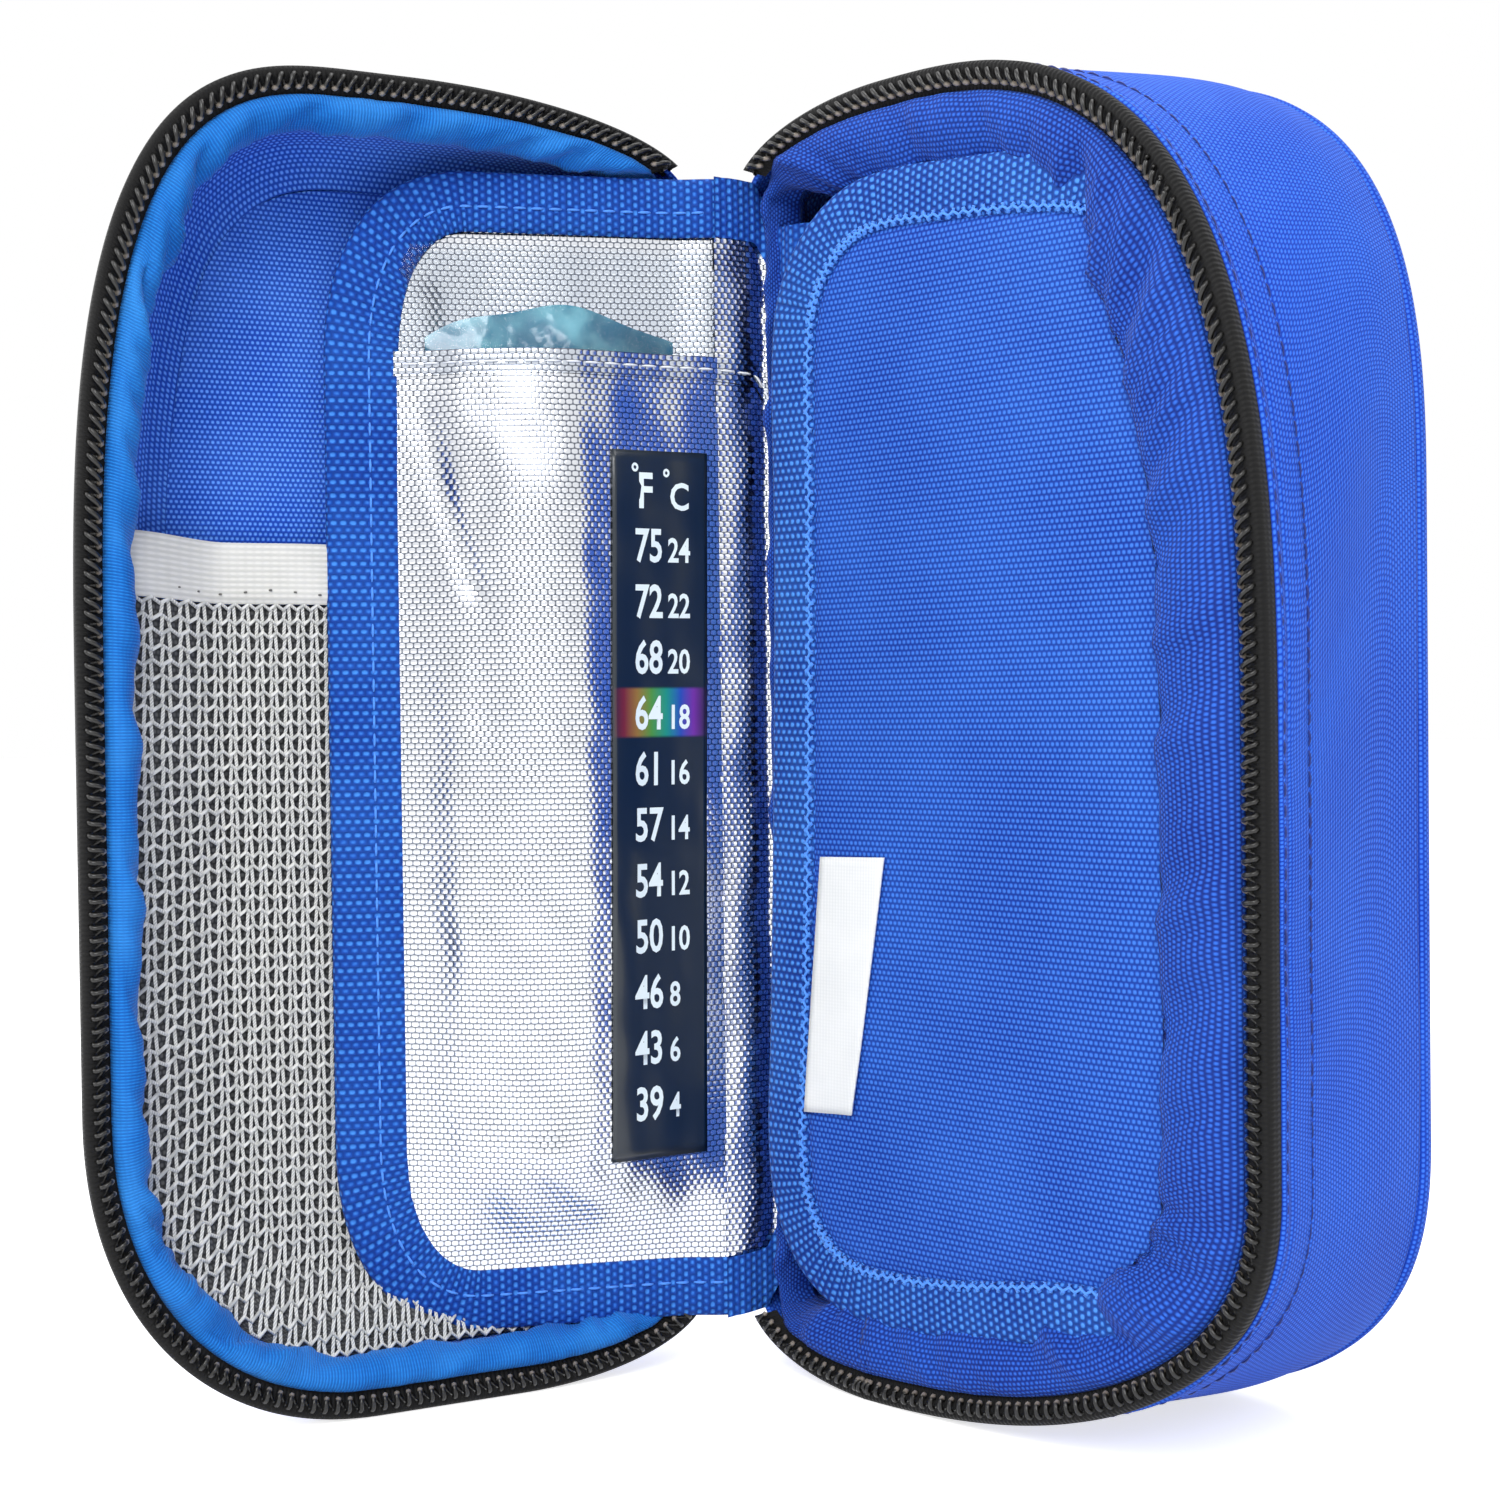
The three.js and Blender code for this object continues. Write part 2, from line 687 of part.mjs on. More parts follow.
function pageBinding() {
  const half = PAGE_BINDING_THICKNESS / 2;
  const opening = outline({
    left: -OVERRUN,
    right: PAGE_WIDTH - PAGE_BINDING_WIDTH,
    bottom: PAGE_BOTTOM + PAGE_BINDING_HEIGHT,
    top: pageTop - PAGE_BINDING_HEIGHT,
    leftCorner: [SEAM, SEAM],
    rightCorner: [
      PAGE_FREE_CORNER_WIDTH - PAGE_BINDING_WIDTH,
      PAGE_FREE_CORNER_HEIGHT - PAGE_BINDING_HEIGHT,
    ],
  });
  return cut(slab(pageOutline(), -half, half), slab(opening, -half - OVERRUN, half + OVERRUN));
}

// Back face of the pocket's front panel, at a share of its width and a height above its foot.
const pocketFoot = PAGE_BOTTOM + PAGE_BINDING_HEIGHT + SEAM;
const pocketRim = PAGE_PANEL / 2 + SEAM;

function pocketDepth(share, rise) {
  const across = 1 - Math.abs(2 * share - 1) ** POCKET_CROWN_SHARE;
  const ramp = 1 - Math.max(0, 1 - rise / POCKET_RAMP) ** POCKET_RAMP_SHARE;
  return pocketRim + POCKET_CROWN * across * ramp;
}

function pocketSpan(height) {
  return spanAt(panelOutline(SEAM), height);
}

// A sheet over the pocket's surface, between two heights, from one lift over it to another.
function pocketSheet(low, high, rows, stations, lift, thickness) {
  const face = (raise, from) =>
    rows.map((rowShare) => {
      const height = low + (high - low) * rowShare;
      const [left, right] = pocketSpan(Math.max(height, pocketFoot + SEAM));
      return from.map((share) => {
        const depth = pocketDepth(share, height - pocketFoot) + raise;
        return new THREE.Vector3(left + (right - left) * share, depth, height);
      });
    });
  const backward = [...stations].reverse();
  const near = face(lift + thickness, stations);
  const far = face(lift, backward);
  const rings = near.map((row, n) => [...row, ...far[n]]);
  const cap = rings[0].map((point) => new THREE.Vector2(point.x, point.y));
  return loft(rings, cap);
}

function pocketFront() {
  return pocketSheet(pocketFoot, hemTop, POCKET_ROW_SHARES, POCKET_STATION_SHARES, 0, PAGE_PANEL);
}

// Folded hem along the mouth of the pocket.
function pocketHem() {
  const low = hemTop - HEM_HEIGHT;
  const lift = PAGE_PANEL + SEAM;
  const stations = POCKET_STATION_SHARES.slice(1, -1);
  return pocketSheet(low, hemTop, [0, 1], stations, lift, HEM_THICKNESS);
}

function thermometerStrip() {
  const bottom = PAGE_BOTTOM + STRIP_RISE;
  const top = hemTop - STRIP_DROP;
  const [left, right] = pocketSpan((bottom + top) / 2);
  const start = PAGE_ROOT + STRIP_INSET;
  const first = (start - left) / (right - left);
  const last = (start + STRIP_WIDTH - left) / (right - left);
  const inner = POCKET_STATION_SHARES.filter((share) => share > first && share < last);
  const stations = [first, ...inner, last];
  const lift = PAGE_PANEL + STRIP_LIFT;
  return pocketSheet(bottom, top, [0, 1], stations, lift, STRIP_THICKNESS);
}

// The fold along the page's root, a rolled edge.
function pageFold() {
  const height = pageTop - PAGE_BOTTOM - 2 * PAGE_ROOT_CORNER_HEIGHT;
  const roll = new THREE.CylinderGeometry(FOLD_RADIUS, FOLD_RADIUS, height, FOLD_SIDES);
  const middle = (pageTop + PAGE_BOTTOM) / 2;
  return roll.rotateX(Math.PI / 2).translate(PAGE_ROOT - SEAM - FOLD_RADIUS, 0, middle);
}

// The root of the page, sewn to the side wall of the deep half beside the spine.
function pageWeb() {
  const left = SPINE_GAP + liningInner + SEAM;
  return block(
    [left, FLAP_DEPTH, SPINE_STRIP_INSET],
    [left + WEB_THICKNESS, WEB_DEPTH, CASE_HEIGHT - SPINE_STRIP_INSET],
  );
}

// Ice pack: a gel pillow, flat behind and crowned in front, in a wide sealed film.
const packBack = PAGE_BINDING_THICKNESS / 2 + SEAM;

function packOutline(inset, corner) {
  return outline({
    left: PAGE_ROOT + PACK_ROOT_INSET + inset,
    right: PAGE_WIDTH - PACK_FREE_INSET - inset,
    bottom: PAGE_BOTTOM + PACK_RISE + inset,
    top: pageTop - PACK_DROP - inset,
    leftCorner: [corner, corner],
    rightCorner: [corner, corner],
  });
}

function packSeal() {
  const hole = packOutline(PACK_SEAL_WIDTH - SEAM, PACK_GEL_CORNER);
  return slab(packOutline(0, PACK_CORNER), packBack, packBack + PACK_FILM, [hole]);
}

function packGel() {
  const rings = GEL_LAYER_SHARES.map(([drawnIn, rise]) => {
    const inset = PACK_SEAL_WIDTH + drawnIn * PACK_GEL_CORNER;
    const corner = PACK_GEL_CORNER * (1 - drawnIn / 2);
    const depth = packBack + PACK_CROWN * rise;
    return packOutline(inset, corner).map((point) => new THREE.Vector3(point.x, depth, point.y));
  });
  return loft(rings, packOutline(PACK_SEAL_WIDTH, PACK_GEL_CORNER));
}

function pagePieces() {
  const half = PAGE_PANEL / 2;
  return [
    piece("pouch_hinge_fold", pageFold(), "foil"),
    piece("pouch_back_panel", slab(panelOutline(SEAM), -half, half), "foil"),
    piece("pouch_front_panel", pocketFront(), "foil"),
    piece("pouch_binding", pageBinding(), "webbing"),
    piece("pouch_front_hem", pocketHem(), "foil"),
    piece("thermometer_strip", thermometerStrip(), "strip"),
    piece("ice_pack_gel", packGel(), "gel"),
    piece("ice_pack_seal", packSeal(), "film"),
  ];
}

// Mesh pocket, a net over the lower part of the lid's floor under an elastic band. Both are sewn
// down at the lining's bend.
const netInset = liningInner + LINING_ROUNDING;

function netGaps(edge) {
  const gaps = [];
  let odd = false;
  const halfWidth = NET_GAP_WIDTH / 2;
  const halfHeight = NET_GAP_HEIGHT / 2;
  const first = netInset + NET_EDGE + halfHeight;
  for (let z = first; z + halfHeight + NET_EDGE < NET_TOP; z += NET_PITCH_HEIGHT / 2) {
    const lower = spanAt(edge, z - halfHeight);
    const upper = spanAt(edge, z + halfHeight);
    const left = Math.max(lower[0], upper[0]) + NET_EDGE / 2 + halfWidth;
    const right = Math.min(lower[1], upper[1]) - NET_EDGE / 2 - halfWidth;
    const middle = SPINE_GAP + RIM_WIDTH / 2 + (odd ? NET_PITCH_WIDTH / 2 : 0);
    const start = middle - Math.floor((middle - left) / NET_PITCH_WIDTH) * NET_PITCH_WIDTH;
    for (let x = start; x <= right; x += NET_PITCH_WIDTH) {
      gaps.push([
        new THREE.Vector2(x - halfWidth, z),
        new THREE.Vector2(x, z - halfHeight),
        new THREE.Vector2(x + halfWidth, z),
        new THREE.Vector2(x, z + halfHeight),
      ]);
    }
    odd = !odd;
  }
  return gaps;
}

// Outline of the net, which ends straight at the elastic.
function netOutline() {
  const points = caseOutline(netInset);
  const [left, right] = spanAt(points, NET_TOP);
  return [
    new THREE.Vector2(left, NET_TOP),
    ...points.filter((point) => point.y < NET_TOP),
    new THREE.Vector2(right, NET_TOP),
  ];
}

function meshNet() {
  const back = floorDepth(LID_DEPTH) - NET_LIFT;
  const edge = netOutline();
  return slab(edge, back - NET_THICKNESS, back, netGaps(edge));
}

function meshElastic() {
  const back = floorDepth(LID_DEPTH) - SEAM;
  const band = slab(caseOutline(netInset), back - ELASTIC_THICKNESS, back);
  const low = NET_TOP + SEAM;
  const region = block([0, 0, low], [2 * RIM_WIDTH, LID_DEPTH, low + ELASTIC_HEIGHT]);
  return clipped(band, region);
}

function buildCase() {
  const whole = new THREE.Group();
  whole.add(
    ...halfPieces("main", MAIN_DEPTH),
    piece("pen_loop_band", penLoopBand(), "elastic"),
    piece("zipper_slider", zipperSlider(), "metal"),
    piece("zipper_pull_tab", pullTab(), "metal"),
    piece("zipper_stop", zipperStop(), "metal"),
    piece("flap_hinge_strip", flapHingeStrip(), "lining"),
    piece("pouch_web", pageWeb(), "foil"),
    ...flapPieces(),
  );

  // The lid is built closed on the far side of the rim plane, then turned open.
  const lid = new THREE.Group();
  lid.scale.y = -1;
  lid.rotation.z = -restOpening;
  lid.add(
    ...halfPieces("lid", LID_DEPTH),
    piece("mesh_pocket_net", meshNet(), "net"),
    piece("mesh_pocket_elastic", meshElastic(), "elastic"),
  );

  // The page stands a little proud of the plane through the hinge line.
  const leaf = new THREE.Group();
  leaf.position.y = PAGE_PROUD;
  leaf.add(...pagePieces());
  const page = new THREE.Group();
  page.rotation.z = -pageAngle;
  page.add(leaf);

  // The case moves so that its origin is the middle of the deep half's flat foot.
  const footX = SPINE_GAP + (SPINE_CORNER_WIDTH + RIM_WIDTH - FREE_CORNER_WIDTH) / 2;
  const footY = (RIM_CLEARANCE + TAPE_SHOWN + MAIN_DEPTH - BACK_EDGE - SEAM) / 2;
  whole.add(lid, page);
  whole.position.set(-footX, -footY, 0);
  return whole;
}

export default buildCase();
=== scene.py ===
"""Looks of an insulin cooling case that stands open like a book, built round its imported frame."""

from math import cos, pi, radians, sin, sqrt

import bpy
import numpy as np
from mathutils import Matrix, Vector
from numpy import linspace


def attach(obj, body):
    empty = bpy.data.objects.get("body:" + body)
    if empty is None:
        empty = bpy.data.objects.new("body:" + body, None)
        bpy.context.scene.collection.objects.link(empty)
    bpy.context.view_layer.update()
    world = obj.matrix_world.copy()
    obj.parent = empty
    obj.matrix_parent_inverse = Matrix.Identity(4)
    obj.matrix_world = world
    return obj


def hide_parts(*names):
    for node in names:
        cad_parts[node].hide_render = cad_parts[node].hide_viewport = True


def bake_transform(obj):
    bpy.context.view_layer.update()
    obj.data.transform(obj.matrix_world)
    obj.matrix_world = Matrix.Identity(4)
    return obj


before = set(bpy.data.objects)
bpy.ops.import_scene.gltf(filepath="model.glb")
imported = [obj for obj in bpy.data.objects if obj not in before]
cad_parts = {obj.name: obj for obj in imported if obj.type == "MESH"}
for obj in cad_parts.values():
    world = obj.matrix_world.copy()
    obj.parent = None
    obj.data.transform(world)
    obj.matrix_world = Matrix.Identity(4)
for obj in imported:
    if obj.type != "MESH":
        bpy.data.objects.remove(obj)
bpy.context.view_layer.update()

# Sizes in millimetres from the hinge line, as in the CAD source
SHIFT = np.array([-50.0, -24.175, 0.0])
OPENING = radians(108)
PAGE_ANGLE = radians(122)
HEIGHT, GAP = 220.0, 3.0
MAIN_DEPTH, LID_DEPTH = 50.0, 25.0
PAGE_FREE, PAGE_LOW, PAGE_HIGH = 68.0, 9.5, 209.0
BIND_W, BIND_H = 12.5, 10.5
HEM_TOP, HEM = 177.5, 4.0
NET_TOP, ELASTIC_TOP = 136.0, 146.3
FLAP_END = 95.0
MIDDLE, MID_WIDTH = HEIGHT / 2, 56.0
BODIES = {"main": "main_half", "lid": "lid"}

# Distance between points along a rim, and the largest inset that its corners allow
RIM_STEP, WIDEST = 1.3, 13.0

# Depth where the deep half's outline starts to change to that of its back, and over how far
BACK_FROM, BACK_REACH = 4.0, 34.0

# Depth where the lid's cloth starts to draw in, its slope, the lid's width, and its share upright
DRAFT_FROM, DRAFT, DRAFT_WIDTH, DRAFT_UP = 4.2, 0.55, 108.6, 0.7

# Width and top of each half, then the reach along, the reach up and the power of its four corners:
# low at the spine, low and high on the free side, high at the spine
FORMS = {
    "main": (107.3, 219.2, (30.0, 14.0, 2.0), (80.0, 46.0, 2.3), (72.5, 110.0, 2.8), (35.0, 14.0, 2.0)),
    "main_back": (107.3, 219.6, (30.0, 14.0, 2.0), (70.0, 48.0, 2.6), (58.0, 72.0, 2.8), (35.0, 14.0, 2.0)),
    "lid": (107.0, 221.6, (35.0, 14.0, 2.0), (47.0, 54.0, 2.2), (47.0, 103.0, 3.1), (52.0, 15.0, 2.0)),
}


# Placing


def metres(points):
    return (np.asarray(points, float) + SHIFT) / 1000


def stacked(*parts):
    return np.stack(np.broadcast_arrays(*parts), -1)


def main_at(x, depth, z):
    return stacked(x, depth, z).astype(float)


def lid_at(x, depth, z):
    c, s = cos(OPENING), sin(OPENING)
    return stacked(x * c - depth * s, -x * s - depth * c, z)


def lid_soft(x, depth, z):
    """A point of the lid, drawn in towards its back on the free side, top and foot."""
    draft = DRAFT * np.maximum(0, depth - DRAFT_FROM)
    across = GAP + (x - GAP) * (1 - draft / DRAFT_WIDTH)
    return lid_at(across, depth, MIDDLE + (z - MIDDLE) * (1 - DRAFT_UP * draft / MIDDLE))


def page_at(reach, off, z):
    """A point of the page, from its distance to the hinge line and from the page's middle layer."""
    c, s = cos(PAGE_ANGLE), sin(PAGE_ANGLE)
    lift = np.asarray(off) + 0.5
    return stacked(reach * c + lift * s, -reach * s + lift * c, z)


def smooth(t):
    t = np.clip(t, 0, 1)
    return t * t * (3 - 2 * t)


def corner(cx, cz, rx, rz, start, power, count=22):
    turn = radians(start) + linspace(0, pi / 2, count)
    c, s = np.cos(turn), np.sin(turn)
    x = cx + rx * np.sign(c) * np.abs(c) ** (2 / power)
    z = cz + rz * np.sign(s) * np.abs(s) ** (2 / power)
    return np.stack([x, z], 1)


def raw_outline(name, inset, closed):
    """A half's rim from its foot at the spine round to its top, open or closed along the spine."""
    width, top, *corners = FORMS[name]
    parts = []
    for n, (reach, rise, power) in enumerate(corners):
        free, high = n in (1, 2), n > 1
        x, z = GAP + width - reach if free else GAP + reach, top - rise if high else rise
        start, count = (180 + 90 * n) % 360, 90 if free else 60
        parts.append(corner(x, z, reach - inset, rise - inset, start, power, count))
    runs = []
    for n, steps in enumerate((2, 12, 2, 60)):
        runs.append(parts[n])
        if n < 3 or closed:
            runs.append(linspace(parts[n][-1], parts[(n + 1) % 4][0], steps + 1)[1:-1])
    return np.concatenate(runs)


def case_outline(name, inset, closed=True, depth=0.0):
    """A half's rim drawn in by an inset, with points that are even along its outer edge."""
    base = along(raw_outline(name, 0.0, closed))
    index = np.interp(np.arange(0, base[-1], RIM_STEP), base, np.arange(len(base)))
    line = raw_outline(name, inset, closed)
    if name == "main" and depth > BACK_FROM:
        share = smooth((depth - BACK_FROM) / BACK_REACH)
        line = line * (1 - share) + raw_outline("main_back", inset, closed) * share
    return np.stack([np.interp(index, np.arange(len(line)), line[:, k]) for k in (0, 1)], 1)


def free_edge(name, inset, z):
    """How far the free side of a half's inset rim reaches, at a height."""
    line = case_outline(name, inset)
    line = line[line[:, 0] > MID_WIDTH]
    line = line[np.argsort(line[:, 1])]
    return np.interp(z, line[:, 1], line[:, 0])


def along(points):
    steps = np.linalg.norm(np.diff(points, axis=0), axis=1)
    return np.concatenate([[0], np.cumsum(steps)])


def sample(points, at):
    s = along(points)
    return np.stack([np.interp(at, s, points[:, k]) for k in range(points.shape[1])], 1)


def curve_through(knots, step=1.2):
    """Smooth line through knots, at even steps."""
    p = np.asarray(knots, float)
    p = np.concatenate([[2 * p[0] - p[1]], p, [2 * p[-1] - p[-2]]])
    t = linspace(0, 1, 24, endpoint=False)[:, None]
    out = []
    for a, b, c, d in zip(p, p[1:], p[2:], p[3:]):
        out.append(
            0.5 * (2 * b + (c - a) * t + (2 * a - 5 * b + 4 * c - d) * t**2 + (3 * b - a - 3 * c + d) * t**3)
        )
    line = np.concatenate([*out, p[-2:-1]])
    total = along(line)[-1]
    return sample(line, linspace(0, total, int(total / step) + 1))


def offset(line, distance):
    """A plane line moved to its left."""
    d = np.gradient(line, axis=0)
    d /= np.linalg.norm(d, axis=1)[:, None]
    return line + distance * np.stack([-d[:, 1], d[:, 0]], 1)


def ripples(x, z, scale, seed, count=9):
    """Smooth random relief, about -1 to 1."""
    r = np.random.default_rng(seed)
    total = np.zeros(np.broadcast(x, z).shape)
    for _ in range(count):
        a, wave, phase = r.uniform(0, pi), scale * r.uniform(0.7, 1.7), r.uniform(0, 7)
        total = total + np.sin(2 * pi * (x * cos(a) + z * sin(a)) / wave + phase)
    return total / sqrt(count)


def pleats(t, seed, waves=(2.7, 4.3, 7.9)):
    """Uneven gathers along a line."""
    total = 0
    for n, wave in enumerate(waves):
        phase = 1.9 * seed + 2.3 * n
        sway = 1.4 * np.sin(2 * pi * t / (3.7 * wave) + phase)
        total = total + np.sin(2 * pi * t / wave + phase + sway)
    return total / len(waves)


# Meshes


def add(name, data):
    made = bpy.data.objects.new(name, data)
    bpy.context.scene.collection.objects.link(made)
    return made


def new_object(name, vertices, faces, material, uv=None):
    mesh = bpy.data.meshes.new(name)
    mesh.from_pydata([tuple(v) for v in vertices], [], [tuple(int(i) for i in f) for f in faces])
    if uv is not None:
        layer = mesh.uv_layers.new(name="UVMap")
        layer.data.foreach_set("uv", np.asarray(uv, np.float32).ravel())
    mesh.polygons.foreach_set("use_smooth", [True] * len(mesh.polygons))
    mesh.materials.append(material)
    mesh.update()
    return add(name, mesh)


def quads(nu, nv, closed=False, ring=False):
    """Rows, columns and corners of a grid's faces, closed along its first way or its second."""
    rows = np.arange(nu if closed else nu - 1)
    columns = np.arange(nv if ring else nv - 1)
    i, j = (a.ravel() for a in np.meshgrid(rows, columns, indexing="ij"))
    i2, j2 = (i + 1) % nu, (j + 1) % nv
    return i, j, np.stack([i * nv + j, i2 * nv + j, i2 * nv + j2, i * nv + j2], 1)


def grid(name, points, material, closed=False, ring=False, uv=None):
    """A mesh through a grid of points, with its UVs in millimetres."""
    i, j, faces = quads(*points.shape[:2], closed, ring)
    if uv is None:
        du = np.linalg.norm(np.diff(points, axis=0, append=points[:1]), axis=2).mean(1)
        dv = np.linalg.norm(np.diff(points, axis=1, append=points[:, :1]), axis=2).mean(0)
        u, v = (np.concatenate([[0], np.cumsum(d)]) for d in (du, dv))
        loops = np.stack([u[i], v[j], u[i + 1], v[j], u[i + 1], v[j + 1], u[i], v[j + 1]], 1)
        loops = loops.reshape(-1, 2)
    else:
        loops = uv.reshape(-1, 2)[faces.ravel()]
    return new_object(name, metres(points).reshape(-1, 3), faces, material, loops)


def normals(points, closed=False):
    du = np.roll(points, -1, 0) - np.roll(points, 1, 0) if closed else np.gradient(points, axis=0)
    dv = np.gradient(points, axis=1)
    n = np.cross(du, dv)
    return n / np.maximum(np.linalg.norm(n, axis=2), 1e-9)[..., None]


def sweep(name, place, section, closed=True):
    """Points of a section, given as insets and depths, all along a half's outline."""
    rings = []
    for inset, depth in section:
        line = case_outline(name, min(inset, WIDEST), closed, depth)
        if inset > WIDEST:
            line = line + (line - case_outline(name, WIDEST - 1, closed, depth)) * (inset - WIDEST)
        rings.append(place(line[:, 0], depth, line[:, 1]))
    return np.stack(rings, 1)


def tube(path, radius, sides=6):
    """Points of a tube round a path in millimetres."""
    d = np.gradient(path, axis=0)
    d /= np.maximum(np.linalg.norm(d, axis=1), 1e-9)[:, None]
    a = np.cross(d, np.array([0.13, 0.41, 0.9]))
    a /= np.linalg.norm(a, axis=1)[:, None]
    b = np.cross(d, a)
    turn = linspace(0, 2 * pi, sides, endpoint=False)
    ring = a[:, None] * np.cos(turn)[:, None] + b[:, None] * np.sin(turn)[:, None]
    return path[:, None] + ring * radius


def stitches(name, line, out, material, length=2.3, gap=0.9, radius=0.2, lift=0.12):
    """Separate stitches along a line, each a small thread that dips at its ends."""
    total = along(line)[-1]
    starts = np.arange(gap, total - length, length + gap)
    rise = np.array([-0.25, 0.12, 0.3, 0.12, -0.25])
    size = np.array([0.55, 0.95, 1.0, 0.95, 0.55]) * radius
    rings, sides = len(size), 6
    at = starts[:, None] + linspace(0, length, rings)[None]
    p = sample(line, at.ravel()).reshape(len(starts), rings, 3)
    n = sample(out, at.ravel() / total * along(out)[-1]) if out.ndim == 2 else np.tile(out, (at.size, 1))
    n = n.reshape(len(starts), rings, 3)
    n = n / np.linalg.norm(n, axis=2)[..., None]
    t = p[:, -1:] - p[:, :1]
    t = t / np.linalg.norm(t, axis=2)[..., None]
    b = np.cross(t, n)
    p = p + n * (lift + rise[None, :, None] * radius * 2)
    turn = linspace(0, 2 * pi, sides, endpoint=False)
    ring = n[:, :, None] * np.cos(turn)[:, None] + b[:, :, None] * np.sin(turn)[:, None]
    v = p[:, :, None] + ring * size[None, :, None, None]
    faces = []
    for base in range(0, len(starts) * rings * sides, rings * sides):
        last = base + (rings - 1) * sides
        for k in range(base, last, sides):
            for m in range(sides):
                q = (m + 1) % sides
                faces.append((k + m, k + q, k + sides + q, k + sides + m))
        faces.append(tuple(base + m for m in reversed(range(sides))))
        faces.append(tuple(last + m for m in range(sides)))
    return new_object(name, metres(v).reshape(-1, 3), faces, material)


def thicken(made, amount):
    modifier = made.modifiers.new("thickness", "SOLIDIFY")
    modifier.thickness = amount / 1000
    modifier.offset = -1.0
    return made


def ride(made, body, slot, *nodes):
    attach(made, body)
    if nodes:
        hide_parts(*nodes)
    return made


def piece(name, points, material, body, slot, *nodes, **kinds):
    """A grid that rides on a body in place of solids, with its closed ways and UVs as kinds."""
    return ride(grid(name, points, material, **kinds), body, slot, *nodes)


# Materials


def linear(colour):
    return [((c / 255 + 0.055) / 1.055) ** 2.4 if c > 10 else c / 255 / 12.92 for c in colour]


def new_material(name):
    material = bpy.data.materials.new(name)
    material.use_nodes = True
    return material, material.node_tree


def put(tree, value, socket):
    if isinstance(value, bpy.types.NodeSocket):
        tree.links.new(value, socket)
    else:
        socket.default_value = value


def reckon(tree, operation, *values):
    made = tree.nodes.new("ShaderNodeMath")
    made.operation = operation
    for value, socket in zip(values, made.inputs):
        put(tree, value, socket)
    return made.outputs[0]


def node(tree, kind, **inputs):
    made = tree.nodes.new(f"ShaderNode{kind}")
    for key, value in inputs.items():
        put(tree, value, made.inputs[key.replace("_", " ")])
    return made


class Surface:
    """A material's nodes, written as sums."""

    def __init__(self, name, colour, roughness=0.8, metallic=0.0, **sockets):
        self.material, self.tree = new_material(name)
        self.shader = self.tree.nodes["Principled BSDF"]
        values = {"Base Color": (*linear(colour), 1), "Roughness": roughness, "Metallic": metallic}
        for key, value in {**values, **sockets}.items():
            self.shader.inputs[key.replace("_", " ")].default_value = value
        split = self.node("SeparateXYZ")
        self.put(self.node("TexCoord").outputs["UV"], split.inputs[0])
        self.u, self.v = split.outputs[0], split.outputs[1]

    def node(self, kind, **inputs):
        return node(self.tree, kind, **inputs)

    def put(self, value, socket):
        put(self.tree, value, socket)

    def math(self, operation, *values):
        return reckon(self.tree, operation, *values)

    def times(self, a, b):
        return self.math("MULTIPLY", a, b)

    def step(self, value, low, high):
        made = self.node("MapRange", Value=value, From_Min=low, From_Max=high)
        made.interpolation_type = "SMOOTHSTEP"
        return made.outputs["Result"]

    def noise(self, scale, detail=2.0, v_share=1.0):
        """Noise over the UVs, with its cells scale millimetres wide, and longer by a share below 1."""
        u, v = self.times(self.u, 1.0 / scale), self.times(self.v, v_share / scale)
        place = self.node("CombineXYZ", X=u, Y=v).outputs[0]
        return self.node("TexNoise", Scale=1.0, Detail=detail, Vector=place).outputs["Fac"]

    def dots(self, pitch, row_pitch, turned=False, dim=0.0):
        """Staggered rows of raised threads, 0 to 1, where every other row may be dimmer."""
        u, v = (self.v, self.u) if turned else (self.u, self.v)
        row = self.math("DIVIDE", v, row_pitch)
        odd = self.math("MODULO", self.math("FLOOR", row), 2.0)
        column = self.math("ADD", self.math("DIVIDE", u, pitch), self.times(odd, 0.5))
        a = self.math("SINE", self.times(self.math("FRACT", column), pi))
        b = self.math("SINE", self.times(self.math("FRACT", row), pi))
        both = self.times(a, b)
        return self.times(both, self.math("MULTIPLY_ADD", odd, -dim, 1.0)) if dim else both

    def ribs(self, source, pitch):
        wave = self.math("SINE", self.times(source, 2 * pi / pitch))
        return self.math("MULTIPLY_ADD", wave, 0.5, 0.5)

    def mix(self, factor, low, high):
        made = self.node("Mix")
        made.data_type = "RGBA"
        self.put(factor, made.inputs[0])
        for value, socket in ((low, made.inputs[6]), (high, made.inputs[7])):
            if isinstance(value, bpy.types.NodeSocket):
                self.put(value, socket)
            else:
                socket.default_value = (*linear(value), 1)
        return made.outputs[2]

    def colour(self, value):
        self.put(value, self.shader.inputs["Base Color"])

    def bump(self, height, distance):
        made = self.node("Bump", Strength=1.0, Distance=distance / 1000, Height=height)
        self.put(made.outputs[0], self.shader.inputs["Normal"])


WORN = 0.12


def cloth(name, dark, base, light, pitch, relief, lit=(0.25, 0.95), turned=False, dim=0.0):
    """Woven cloth with rows of raised threads, uneven tone and faint wear, with painted shade in the gaps
    between the threads and a painted highlight on their tops.
    """
    s = Surface(name, base, 0.75, Sheen_Weight=0.06, Sheen_Roughness=0.4, Specular_IOR_Level=0.25)
    thread = s.dots(*pitch, turned, dim)
    tone = s.noise(26.0, 3.0)
    fine = s.noise(0.9, 2.0)
    uneven = s.math("ADD", thread, s.math("MULTIPLY_ADD", fine, 0.5, -0.25))
    # Painted shade: the gaps between the threads take the dark colour.
    body = s.mix(s.step(thread, 0.0, lit[0] * 2), dark, base)
    # Painted highlight: the tops of the raised threads take the light colour.
    top = s.mix(s.step(uneven, lit[0], lit[1]), body, light)
    random_tone = s.mix(s.step(tone, 0.3, 0.7), dark, light)
    s.colour(s.mix(WORN, top, random_tone))
    s.bump(s.math("ADD", thread, s.times(fine, 0.5)), relief)
    return s.material


